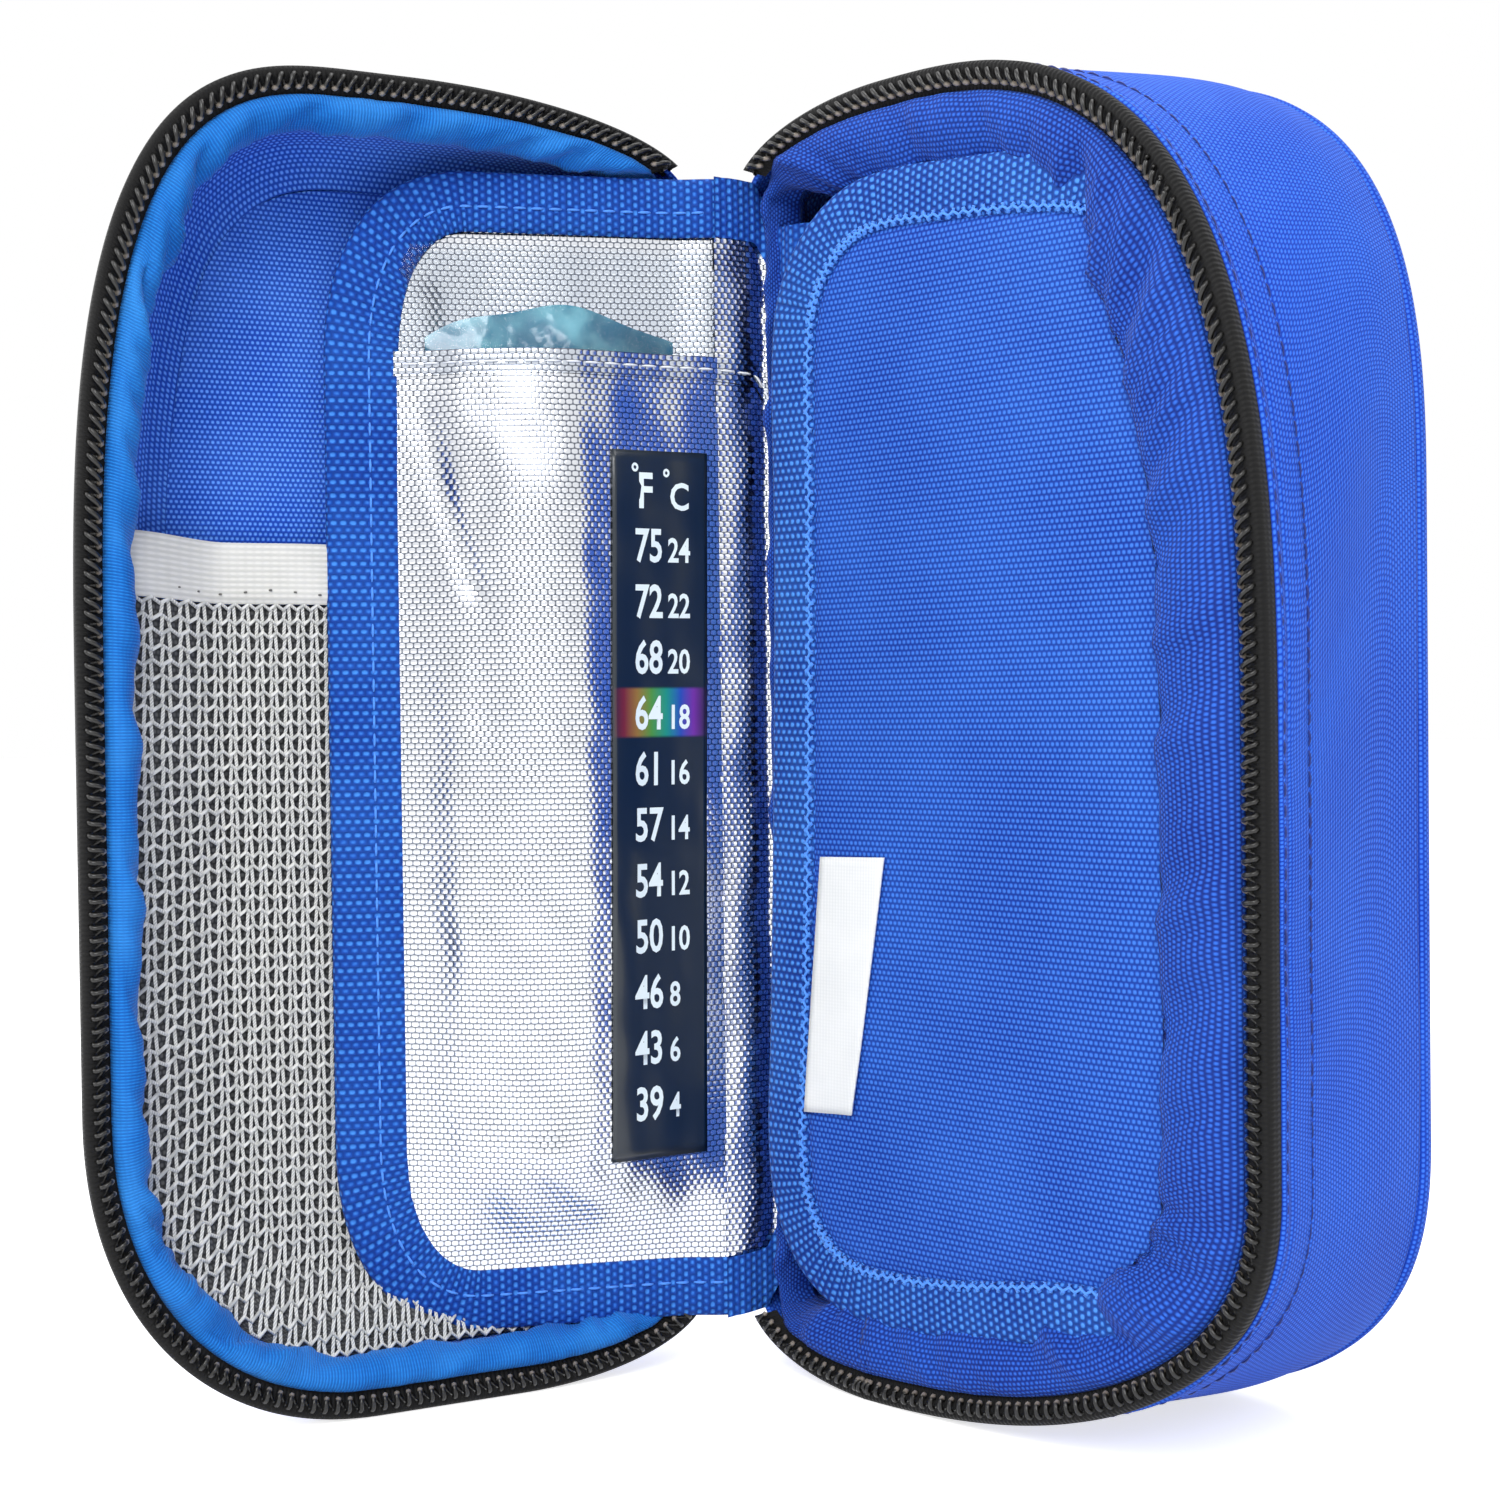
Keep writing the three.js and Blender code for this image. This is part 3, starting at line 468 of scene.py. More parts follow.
canvas = cloth("flap_canvas", (4, 46, 140), (14, 72, 174), (62, 122, 222), (0.95, 0.93), 0.12)
outer_cloth = cloth("outer_canvas", (6, 54, 172), (18, 80, 206), (62, 124, 242), (0.8, 0.78), 0.12)
royal = cloth("royal_lining", (2, 34, 118), (8, 56, 156), (48, 106, 214), (0.8, 0.78), 0.15, (0.3, 1.0))
lid_royal = cloth("lid_lining", (12, 60, 170), (34, 98, 220), (106, 166, 252), (0.95, 0.9), 0.15, (0.35, 1.0))
webbing = cloth(
    "ribbed_webbing", (0, 50, 140), (4, 74, 180), (66, 140, 232), (1.5, 1.15), 0.34, (0.3, 0.9), True, 0.35
)
fine_web = cloth(
    "flap_webbing", (0, 44, 128), (8, 72, 172), (78, 148, 236), (1.3, 1.25), 0.26, (0.35, 0.9), True, 0.15
)


def ribbed(name, dark, base, light, pitch, relief):
    """Cloth with fine ribs across its length, with painted shade in the troughs between the ribs."""
    s = Surface(name, base, 0.75, Sheen_Weight=0.08, Sheen_Roughness=0.4, Specular_IOR_Level=0.25)
    rib = s.times(s.ribs(s.u, pitch), s.math("MULTIPLY_ADD", s.ribs(s.v, pitch * 1.6), 0.35, 0.65))
    tone = s.noise(14.0, 3.0)
    # Painted shade: the troughs between the ribs take the dark colour.
    body = s.mix(s.step(rib, 0.05, 0.9), dark, base)
    s.colour(s.mix(s.times(s.step(tone, 0.35, 0.75), 0.35), body, light))
    s.bump(rib, relief)
    return s.material


azure = ribbed("azure_lining", (8, 92, 180), (24, 128, 218), (66, 160, 242), 0.5, 0.12)
tape_cloth = ribbed("zipper_tape_weave", (4, 4, 5), (9, 9, 10), (20, 19, 19), 0.8, 0.16)
elastic_cloth = ribbed("white_elastic", (198, 198, 192), (222, 221, 215), (236, 235, 230), 0.95, 0.06)
label_cloth = ribbed("woven_label", (214, 217, 218), (236, 237, 237), (246, 246, 246), 0.35, 0.04)


TILT_REACH = 26.0


def foil_surface(name, tint, tilt=0.0):
    """Foil on an open weave, with raised cells, painted shade in the gaps between them and soft creases. The
    tilt is the slope that the foil nearer to the fold than its reach has beyond that of its mesh."""
    s = Surface(name, tint, roughness=0.2, metallic=1.0)
    cell = s.dots(1.25, 0.95)
    # Painted shade: the gaps between the raised cells take a dull grey.
    s.colour(s.mix(s.step(cell, 0.02, 0.4), (96, 102, 116), tint))
    s.put(s.math("MULTIPLY_ADD", s.noise(9.0, 3.0), 0.16, 0.1), s.shader.inputs["Roughness"])
    wrinkle = s.times(s.noise(18.0, 2.0, 0.35), 0.45)
    relief = s.math("ADD", s.times(cell, 0.05), wrinkle)
    if tilt:
        slope = s.times(s.math("MINIMUM", s.u, TILT_REACH), tilt)
        relief = s.math("ADD", relief, slope)
    s.bump(relief, 1.0)
    return s.material


foil = foil_surface("scrim_foil", (228, 231, 237), 0.07)
hem_foil = foil_surface("hem_foil", (206, 212, 222), 0.07)
plain_foil = foil_surface("back_foil", (214, 218, 226))


def coil_surface():
    """Nylon coil, dark with a painted highlight at its inner ends."""
    s = Surface("nylon_coil", (18, 16, 15), roughness=0.34, Specular_IOR_Level=0.5)
    # Painted highlight: a pale grey-brown where the spiral faces inward.
    s.colour(s.mix(s.step(s.v, 0.86, 0.99), (12, 11, 10), (150, 140, 128)))
    s.bump(s.noise(0.6, 2.0), 0.05)
    return s.material


coil = coil_surface()


def net_surface():
    s = Surface("knitted_net", (206, 207, 204), roughness=0.8, Sheen_Weight=0.1)
    thread = s.ribs(s.math("ADD", s.u, s.v), 0.55)
    # Painted shade: the grooves between the diagonal threads are darker.
    s.colour(s.mix(s.step(thread, 0.1, 0.8), (190, 191, 188), (226, 226, 222)))
    s.bump(thread, 0.08)
    return s.material


net = net_surface()
# Dark grey cloth for a sheet just behind the net, which darkens the net's holes.
net_dark_sheet = cloth("net_dark_sheet", (52, 53, 55), (74, 75, 77), (104, 105, 106), (0.9, 0.9), 0.1)


def film_surface():
    """Clear film: mostly see-through, with gloss at a slant."""
    material, tree = new_material("clear_film")
    tree.nodes.clear()
    clear = node(tree, "BsdfTransparent", Color=(0.93, 0.95, 0.97, 1))
    wave = node(tree, "TexNoise", Scale=90.0)
    bump = node(tree, "Bump", Distance=0.0003, Height=wave.outputs["Fac"])
    gloss = node(tree, "BsdfGlossy", Roughness=0.06, Normal=bump.outputs[0])
    joined = node(tree, "MixShader", Fac=node(tree, "Fresnel", IOR=1.4).outputs[0])
    put(tree, clear.outputs[0], joined.inputs[1])
    put(tree, gloss.outputs[0], joined.inputs[2])
    node(tree, "OutputMaterial", Surface=joined.outputs[0])
    return material


film = film_surface()


def gel_surface():
    s = Surface("teal_gel", (26, 150, 176), roughness=0.12, Coat_Weight=0.6, Coat_Roughness=0.05)
    # Painted highlights: pale patches at random stand in for glints on the gel.
    painted_glint_patch = s.noise(9.0, 3.0)
    s.colour(s.mix(s.step(painted_glint_patch, 0.4, 0.75), (4, 104, 136), (120, 190, 204)))
    s.bump(s.noise(6.0, 2.0), 0.5)
    return s.material


gel = gel_surface()


blue_thread, dark_thread, white_thread, grey_thread, ink = (
    Surface(name, colour, roughness=0.65, Sheen_Weight=0.15).material
    for name, colour in (
        ("blue_thread", (74, 144, 240)), ("royal_thread", (6, 32, 112)), ("white_thread", (232, 235, 238)),
        ("grey_thread", (96, 96, 92)), ("white_ink", (226, 238, 238)),
    )
)


RAINBOW_WIDTH = 17.0
CELL_LOW, CELL_HIGH, CELL_BLUR = 72.2, 81.2, 0.7


def strip_surface():
    """Dark strip with one cell that shows the rainbow of its liquid crystal."""
    s = Surface("strip_print", (10, 28, 40), roughness=0.32, Coat_Weight=0.3, Coat_Roughness=0.15)
    ramp = s.node("ValToRGB")
    stops = [
        (0.0, (20, 30, 44)), (0.12, (120, 30, 40)), (0.26, (150, 110, 40)), (0.42, (70, 140, 50)),
        (0.58, (20, 140, 120)), (0.74, (30, 70, 170)), (0.88, (110, 40, 150)), (1.0, (40, 24, 60)),
    ]
    while len(ramp.color_ramp.elements) < len(stops):
        ramp.color_ramp.elements.new(0.5)
    for element, (place, colour) in zip(ramp.color_ramp.elements, stops):
        element.position = place
        element.color = (*linear(colour), 1)
    s.put(s.math("DIVIDE", s.u, RAINBOW_WIDTH), ramp.inputs[0])
    foot = s.step(s.v, CELL_LOW, CELL_LOW + CELL_BLUR)
    head = s.step(s.v, CELL_HIGH, CELL_HIGH - CELL_BLUR)
    cell = s.times(foot, head)
    s.colour(s.mix(cell, (8, 24, 36), ramp.outputs[0]))
    s.bump(s.noise(3.0, 2.0), 0.02)
    return s.material


strip_print = strip_surface()


def metal_surface():
    s = Surface("dark_nickel", (52, 52, 56), roughness=0.32, metallic=1.0)
    s.put(s.math("MULTIPLY_ADD", s.noise(0.3, 3.0), 0.2, 0.22), s.shader.inputs["Roughness"])
    return s.material


metal = metal_surface()


# Outer shell, zipper and lining of each half


# Shares of the way from a half's middle to its rim, for the rings that fill its back and its floor
RINGS = np.array([1, 0.97, 0.93, 0.86, 0.76, 0.62, 0.46, 0.3, 0.15, 0.0])


def filled(line):
    """Rings from a closed line to its middle."""
    centre = line.mean(0)
    return centre + (line[:, None] - centre) * RINGS[None, :, None]


def half_piece(name, label, points, material, slot, *words, **kinds):
    nodes = [f"{name}_{word}" for word in words]
    return piece(f"{name}_{label}", points, material, BODIES[name], slot, *nodes, **kinds)


def shell(name, place, depth):
    """Side wall with two seams and slight waves, the rolled edge behind it, and the back."""
    outer = case_outline(name, 0.0)
    side = linspace(5.3, depth - 6.4, int((depth - 11.7) / 0.5))
    section = [(0.9, 5.3), (0.4, 4.8), (0.1, 4.9), *[(0.0, d) for d in side]]
    wall = sweep(name, place, [*section, (0.6, depth - 6.2), (1.9, depth - 6.0)])
    n = normals(wall, True)
    spot = int(np.argmax(outer[:, 0])), 8
    out_sign = np.sign(np.sum(n[spot] * (wall[spot] - place(MID_WIDTH, depth / 2, MIDDLE))))
    seam = 0.3 * np.exp(-(((side - 6.9) / 0.4) ** 2)) + 0.25 * np.exp(-(((side - 12.4) / 0.4) ** 2))
    puff = np.zeros(wall.shape[:2])
    puff[:, 3:-2] = 0.16 * ripples(along(outer)[:, None], side[None], 30, 3) + 0.1 - seam[None]
    wall = wall + n * out_sign * puff[..., None]
    half_piece(name, "side_wall", wall, outer_cloth, "shell_fabric", "gusset", "foam_side", closed=True)

    edge = [(1.7, -6.1), (0.1, -5.7), (-0.45, -4.9), (-0.35, -3.7), (0.4, -2.2), (1.5, -1.0), (3.2, -0.2),
            (5.4, 0.15)]
    rim = sweep(name, place, [(inset, depth + beyond) for inset, beyond in edge])
    half_piece(name, "welt", rim, outer_cloth, "shell_fabric", closed=True)
    flat = filled(case_outline(name, 5.4, depth=depth))
    crown = 0.15 + 1.1 * smooth((1 - RINGS) * 2.2)[None] + 0.2 * ripples(flat[..., 0], flat[..., 1], 60, 11)
    back = place(flat[..., 0], depth + crown, flat[..., 1])
    half_piece(name, "back", back, outer_cloth, "shell_fabric", "back_panel", "foam_back", closed=True)


def side_stitches(name, place):
    for number, at in enumerate((5.7, 12.4)):
        line, beyond = (case_outline(name, inset, False, at) for inset in (-0.05, -1.0))
        path = place(line[:, 0], at, line[:, 1])
        out = place(beyond[:, 0], at, beyond[:, 1]) - path
        stitch = stitches(f"{name}_side_stitch_{number + 1}", path, out, dark_thread, 2.3, 0.7, 0.2, 0.0)
        ride(stitch, BODIES[name], "shell_fabric")


def zipper(name, place):
    """The tape, which folds over the rim, and the coil on it, which is a drawn-out spiral."""
    section = [(1.2, 6.2), (0.5, 5.2), (0.15, 4.0), (0.05, 2.6), (0.2, 1.6), (0.8, 1.1), (1.8, 1.2),
               (3.0, 1.8), (4.0, 2.4), (4.9, 2.8)]
    tape = sweep(name, place, section, False)[4:-4]
    half_piece(name, "zip_tape", tape, tape_cloth, "zipper_tape", "zipper_tape")
    line, inner = (case_outline(name, inset, False)[4:-4] for inset in (2.6, 3.6))
    total, per = along(line)[-1], 12
    count = int(total / 2.0) * per
    at = linspace(0, total, count)
    turn = np.arange(count) * 2 * pi / per
    p = sample(line, at)
    e = sample(inner, at / total * along(inner)[-1]) - p
    e /= np.linalg.norm(e, axis=1)[:, None]
    p = p + 1.15 * np.cos(turn)[:, None] * e
    rings = tube(place(p[:, 0], 1.1 - 0.75 * np.sin(turn), p[:, 1]), 0.42)
    # The second UV value is 1 where the spiral faces inward, which places the coil's painted highlight.
    uv = np.repeat(stacked(at, 0.5 + 0.5 * np.cos(turn))[:, None], 6, 1)
    half_piece(name, "coil", rings, coil, "zipper_coil", "zipper_teeth", ring=True, uv=uv)


# Sections of the lining's roll as insets and depths: on each half, and where it lies over the flap
ROLLS = {
    "main": [(4.4, 2.6), (4.7, 1.6), (5.5, 0.9), (6.8, 0.6), (8.4, 0.7), (10.0, 1.1), (11.8, 2.0),
             (13.6, 3.4), (15.4, 5.4), (16.8, 7.2), (16.4, 8.6), (13.0, 9.6), (8.0, 10.6)],
    "over": [(4.4, 2.6), (4.7, 1.6), (5.8, 0.8), (8.0, 0.35), (10.4, 0.3), (12.8, 0.5), (15.2, 0.9),
             (17.4, 1.4), (18.8, 1.9), (19.3, 2.5), (18.2, 3.2), (14.5, 4.8), (9.0, 8.6)],
    "lid": [(4.4, 2.6), (4.7, 1.5), (5.4, 0.7), (6.3, 0.3), (7.2, 0.35), (8.1, 0.9), (8.9, 1.8),
            (9.4, 3.0), (9.5, 4.4), (9.1, 5.8), (8.2, 7.0), (7.2, 7.8), (6.4, 8.4)],
}


def lining_roll(name, place):
    """The lining rolls over the coil's inner side as a gathered pad. Beside the flap's hinge the deep
    half's pad lies over the flap, elsewhere it goes behind it, and at the spine it lies low."""
    outer = case_outline(name, 0.0)
    run = along(outer)
    roll = ROLLS[name]
    pad = sweep(name, place, roll)
    slim = sweep(name, place, [(3.4 + (i - 4.4) * 0.25, d + 5) for i, d in roll])
    share = smooth((outer[:, 0] - 2.0) / 9.0)[:, None, None]
    pad = slim * (1 - share) + pad * share
    if name == "main":
        share = smooth((outer[:, 0] - 84.0) / 16.0)[:, None, None]
        pad = pad * (1 - share) + sweep(name, place, ROLLS["over"]) * share
    n = normals(pad, True)
    spot = int(np.argmax(outer[:, 0])), 4
    inward = np.sign(np.sum(n[spot] * (place(MID_WIDTH, -60.0, MIDDLE) - pad[spot])))
    weight = np.array([0, 0.1, 0.35, 0.7, 0.95, 1.0, 1.0, 0.95, 0.85, 0.7, 0.4, 0.2, 0.1])[None]
    corners = 0.3 + 0.7 * np.exp(-(((np.abs(outer[:, 1] - MIDDLE) - 84) / 26) ** 2))[:, None]
    slant = 0.9 * np.arange(len(roll))[None]
    drift = run[:, None] + slant
    amount = 0.5 * pleats(run, 5)[:, None] * corners + pleats(drift, 9, (17.0, 29.0, 11.0))
    amount = amount + 1.5 * corners * pleats(drift + slant, 14, (9.5, 15.0, 23.0))
    pad = pad + n * inward * (amount * weight)[..., None]
    material = azure if name == "lid" else royal
    half_piece(name, "lining_pad", pad, material, "lining_fabric", closed=True)


def inner_lining(name, place, floor):
    """Lining of the side, and of the floor at its depth."""
    inset, level = ROLLS[name][-1]
    section = [(inset + 1.3, level - 1.6), (5.6, level + 3.0), (5.0, floor - 5.0), (6.4, floor - 1.6),
               (9.8, floor - 0.1)]
    wall = sweep(name, place, section)
    half_piece(name, "side_lining", wall, lid_royal, "lining_fabric", closed=True)
    flat = filled(case_outline(name, 9.8))
    wave = 0.25 * ripples(flat[..., 0], flat[..., 1], 45, 21)
    deep = floor - 0.1 - 0.5 * smooth((1 - RINGS) * 2)[None] + wave
    points = place(flat[..., 0], deep, flat[..., 1])
    half_piece(name, "floor", points, lid_royal, "lining_fabric", "lining", closed=True, uv=flat)


for name, place, depth in (("main", main_at, MAIN_DEPTH), ("lid", lid_soft, LID_DEPTH)):
    shell(name, place, depth)
    side_stitches(name, place)
    zipper(name, place)
    lining_roll(name, place)
    inner_lining(name, place, depth - 4.7)


# Spine: one strip of shell cloth that bends between the halves


def spine():
    z = linspace(27, 193, 60)
    left = [(3.0, 14.0), (2.6, 9.0), (2.2, 5.6), (1.4, 3.0), (0.5, 1.1)]
    points = [main_at(x, d, z) for x, d in left] + [lid_at(x, d, z) for x, d in reversed(left)]
    made = grid("spine_strip", np.stack(points, 1), outer_cloth)
    start, end = (metres(place(2.6, 4.0, MIDDLE)) for place in (main_at, lid_at))
    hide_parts("main_spine_strip", "lid_spine_strip")
    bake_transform(made)


spine()


# Cover flap


FLAP_EDGE = [
    (95.0, 190.0), (89.5, 195.2), (83.0, 199.0), (76.1, 201.4), (64.0, 203.2), (52.6, 204.2), (38.5, 205.2),
    (28.0, 203.8), (19.5, 198.6), (13.2, 189.5), (10.8, 177.0), (10.3, 150.0), (9.8, 120.0), (9.2, 90.0),
    (8.2, 60.0), (7.5, 42.0), (9.0, 29.5), (14.2, 19.8), (21.8, 14.2), (31.0, 12.2), (47.0, 12.8),
    (60.4, 14.8), (71.0, 16.6), (81.0, 17.4), (87.0, 18.2), (91.0, 19.0),
]


def flap_depth(x, z):
    """Depth of the flap's front face: pulled in at its hinge, proud at its free edge."""
    return 3.6 - 0.5 * smooth((40 - x) / 34) + 0.35 * ripples(x, z, 70, 31) * smooth((92 - x) / 12)


def on_flap(spot, back):
    """Points behind the flap's front face, by a distance."""
    x, z = spot[..., 0], spot[..., 1]
    return main_at(x, flap_depth(x, z) + back, z)


def flap_binding(edge):
    """Webbing folded round the flap's edge, gathered where the edge bends."""
    run = along(edge)
    section = [(9.6, 2.4), (6.0, 2.5), (1.2, 2.5), (0.35, 2.2), (0.0, 1.3), (0.25, 0.4), (0.9, 0.0),
               (2.5, -0.12), (4.5, -0.1), (6.5, -0.08), (8.2, 0.0), (9.3, 0.16), (9.9, 0.5), (10.0, 0.95)]
    bend = np.gradient(np.unwrap(np.arctan2(*np.gradient(edge, axis=0).T[::-1])), run)
    tight = smooth(np.abs(np.convolve(bend, np.ones(15) / 15, "same")) / 0.04)
    gather = pleats(run, 4, (2.1, 3.3, 5.1))
    rings = []
    for inward, back in section:
        waver = 0.28 * gather * (0.25 + tight) if inward > 8 else 0 * gather
        moved = offset(edge, inward + waver[:, None])
        ridge = -(0.12 + 0.3 * tight) * gather * sin(pi * inward / 10)
        rings.append(on_flap(moved, back - 0.5 + (ridge if back < 1 else 0)))
    piece("flap_edge_binding", np.stack(rings, 1), fine_web, "cover_flap", "webbing", "flap_binding")


def flap_seam(edge):
    """A looped seam along the binding's inner edge."""
    at = np.arange(0.5, along(edge)[-1] - 0.5, 0.22)
    turn = at * 2 * pi / 2.1
    line = sample(edge, at)
    ahead = np.gradient(line, axis=0)
    ahead /= np.linalg.norm(ahead, axis=1)[:, None]
    left = np.stack([-ahead[:, 1], ahead[:, 0]], 1)
    line = line + left * (9.1 + 0.7 * np.sin(turn))[:, None] + ahead * (0.55 * np.sin(2 * turn))[:, None]
    thread = tube(on_flap(line, 0.3 * np.clip(np.sin(turn), 0, 1) - 0.68), 0.24)
    piece("flap_binding_stitch", thread, blue_thread, "cover_flap", "webbing", ring=True)


def flap_layers(edge):
    """The flap's front cloth, which falls away under the binding, and its foil back."""
    inner = offset(edge, 8.8)
    middle = len(inner) // 2
    first = linspace((FLAP_END, inner[0, 1] - (FLAP_END - inner[0, 0])), inner[0], 8)[:-1]
    final = linspace((FLAP_END, inner[-1, 1] + 0.4), inner[-1], 8)[:-1]
    top = np.concatenate([first, inner[:middle]])
    low = np.concatenate([final, inner[::-1][:middle]])
    across = linspace(0, 1, 90)
    flat = top[:, None] * (1 - across[None, :, None]) + low[:, None] * across[None, :, None]
    rim = np.min(np.linalg.norm(flat[:, :, None] - inner[None, None, ::3], axis=3), 2)
    made = grid("flap_panel", on_flap(flat, 0.6 - 0.9 * smooth(rim / 3.2)), canvas, uv=flat)
    ride(made, "cover_flap", "shell_fabric", "flap_outer_cover", "flap_foam")
    made = grid("flap_back_foil", on_flap(flat, 1.9), plain_foil, uv=flat)
    ride(made, "cover_flap", "foil", "flap_foil_lining")


def flap_hinge_cloth():
    z = linspace(20, 191, 60)
    x = np.array([93.0, 94.2, 96.0, 98.5, 101.0])
    d = np.array([4.2, 3.9, 4.6, 5.6, 7.2])
    x = np.minimum(x[None], free_edge("main", 7.0, z)[:, None])
    strip = main_at(x, d[None] + 0.2 * ripples(x, z[:, None], 14, 8), z[:, None])
    piece("flap_hinge_cloth", strip, royal, "main_half", "lining_fabric", "flap_hinge_strip")


def blank_label():
    """A woven label between its four corners, whose low right corner lifts off the flap."""
    a, b, c, e = (np.array(p) for p in [(21.6, 90.9), (35.8, 91.3), (28.7, 47.6), (17.5, 46.9)])
    u = linspace(0, 1, 12)[:, None, None]
    v = linspace(0, 1, 30)[None, :, None]
    spot = (a * (1 - u) + b * u) * (1 - v) + (e * (1 - u) + c * u) * v
    lift = 0.8 + 0.35 * smooth((u - 0.6) / 0.4) * smooth((v - 0.7) / 0.3)
    made = thicken(grid("blank_label", on_flap(spot, -lift[..., 0]), label_cloth, uv=spot), 0.3)
    ride(made, "cover_flap", "label", "side_label")


flap_edge = curve_through(FLAP_EDGE, 1.0)
flap_binding(flap_edge)
flap_seam(flap_edge)
flap_layers(flap_edge)
flap_hinge_cloth()
blank_label()


# Foil page, whose foils go a little under its binding

UNDER = 1.2
PAGE_MIDDLE = 109
OFF_PAGE = page_at(0.0, 1.0, 0.0) - page_at(0.0, 0.0, 0.0)


def page_path(inset_w, inset_h):
    """The page's edge from the root's foot round the free side to the root's top, drawn in."""
    right, low, high = PAGE_FREE - inset_w, PAGE_LOW + inset_h, PAGE_HIGH - inset_h
    rw, rh = 25.0 - inset_w, 34.0 - inset_h
    lower = corner(right - rw, low + rh, rw, rh, 270, 2.3, 26)
    upper = corner(right - rw, high - rh, rw, rh, 0, 2.3, 26)
    return np.concatenate([
        linspace((0.6, low), lower[0], 40)[:-1], lower,
        linspace(lower[-1], upper[0], 110)[1:-1], upper,
        linspace(upper[-1], (0.6, high), 40)[1:],
    ])


def page_span(z):
    """Free edge of the opening inside the binding, at a height."""
    side = page_path(BIND_W, BIND_H)[39:-39]
    return np.interp(z, side[:, 1], side[:, 0])


def root_lift(s):
    """How far the page's front rises at its root, to pass over the zipper's slider."""
    return 2.0 * np.exp(-((s / 6.0) ** 2))


def crease(s, z, start, end, width):
    """A soft ridge along a line, 1 at its middle."""
    (s0, z0), (s1, z1) = start, end
    t = np.clip(((s - s0) * (s1 - s0) + (z - z0) * (z1 - z0)) / ((s1 - s0) ** 2 + (z1 - z0) ** 2), 0, 1)
    return np.exp(-((s - s0 - t * (s1 - s0)) ** 2 + (z - z0 - t * (z1 - z0)) ** 2) / width**2)


BULGE = curve_through([
    (0, 2.8), (2, 3.3), (8, 5.4), (16, 8.3), (22, 10.4), (26, 11.3), (31, 11.5), (37, 10.4), (46, 6.8),
    (53, 2.6), (57.5, 0.9), (62, 0.9),
], 0.25)


def pocket_off(s, z, lift=0.0):
    """How far the pocket's foil stands off the page."""
    flat = 0.8 + root_lift(s)
    full = np.interp(s, BULGE[:, 0], BULGE[:, 1])
    foot = smooth((z - 19.0) / 24.0)
    head = 1 - 0.3 * smooth((z - 150.0) / 30.0)
    dent = 0.4 * ripples(s * 1.4, z * 0.35, 30, 41) + 0.12 * ripples(s, z * 0.7, 9, 43)
    dent = dent - 0.9 * crease(s, z, (53, 168), (44, 138), 2.2) + 0.9 * crease(s, z, (33, 40), (13, 25), 3.2)
    edge = smooth(s / 6) * smooth((56.5 - s) / 10.0)
    return flat + (full - flat) * foot * head + dent * edge * foot + lift


def page_binding():
    """Wide webbing folded round the page's three free sides, with its seam."""
    path = page_path(0, 0)
    section = [(1.0, -0.9), (0.6, -1.35), (0.1, -1.3), (0.0, 0.0), (0.0, 0.0), (0.03, 0.9), (0.1, 1.3),
               (0.28, 1.5), (0.5, 1.52), (0.7, 1.5), (0.88, 1.42), (0.97, 1.25), (1.0, 0.9)]
    gather = pleats(along(path), 6, (2.3, 3.9, 6.1))
    tall = np.abs(path[:, 1] - PAGE_MIDDLE)
    tight = smooth((tall - 60) / 25) * smooth((path[:, 0] - 30) / 20)
    rings = []
    for share, off in section:
        line = page_path(BIND_W * share, BIND_H * share)
        ridge = (0.1 + 0.3 * tight) * gather * sin(pi * share) + root_lift(line[:, 0])
        rings.append(page_at(line[:, 0], off + (ridge if off > 0 else 0), line[:, 1]))
    piece("page_edge_binding", np.stack(rings, 1), webbing, "ice_page", "webbing", "pouch_binding")
    line = page_path(BIND_W * 0.6, BIND_H * 0.6)
    seam = page_at(line[:, 0], 1.5 + root_lift(line[:, 0]), line[:, 1])
    stitch = stitches("page_binding_stitch", seam, OFF_PAGE, blue_thread, 2.2, 0.9, 0.24, 0.08)
    ride(stitch, "ice_page", "webbing")


def opening(low, high, count):
    """Reach and height of points that fill the page's opening, and go a little under its binding."""
    z = linspace(low, high, count)[:, None]
    return 0.6 + (page_span(z) + UNDER - 0.6) * linspace(0, 1, 60)[None], z


def on_page(name, s, off, z, material, *nodes):
    return piece(name, page_at(s, off, z), material, "ice_page", "foil", *nodes, uv=stacked(s, z))


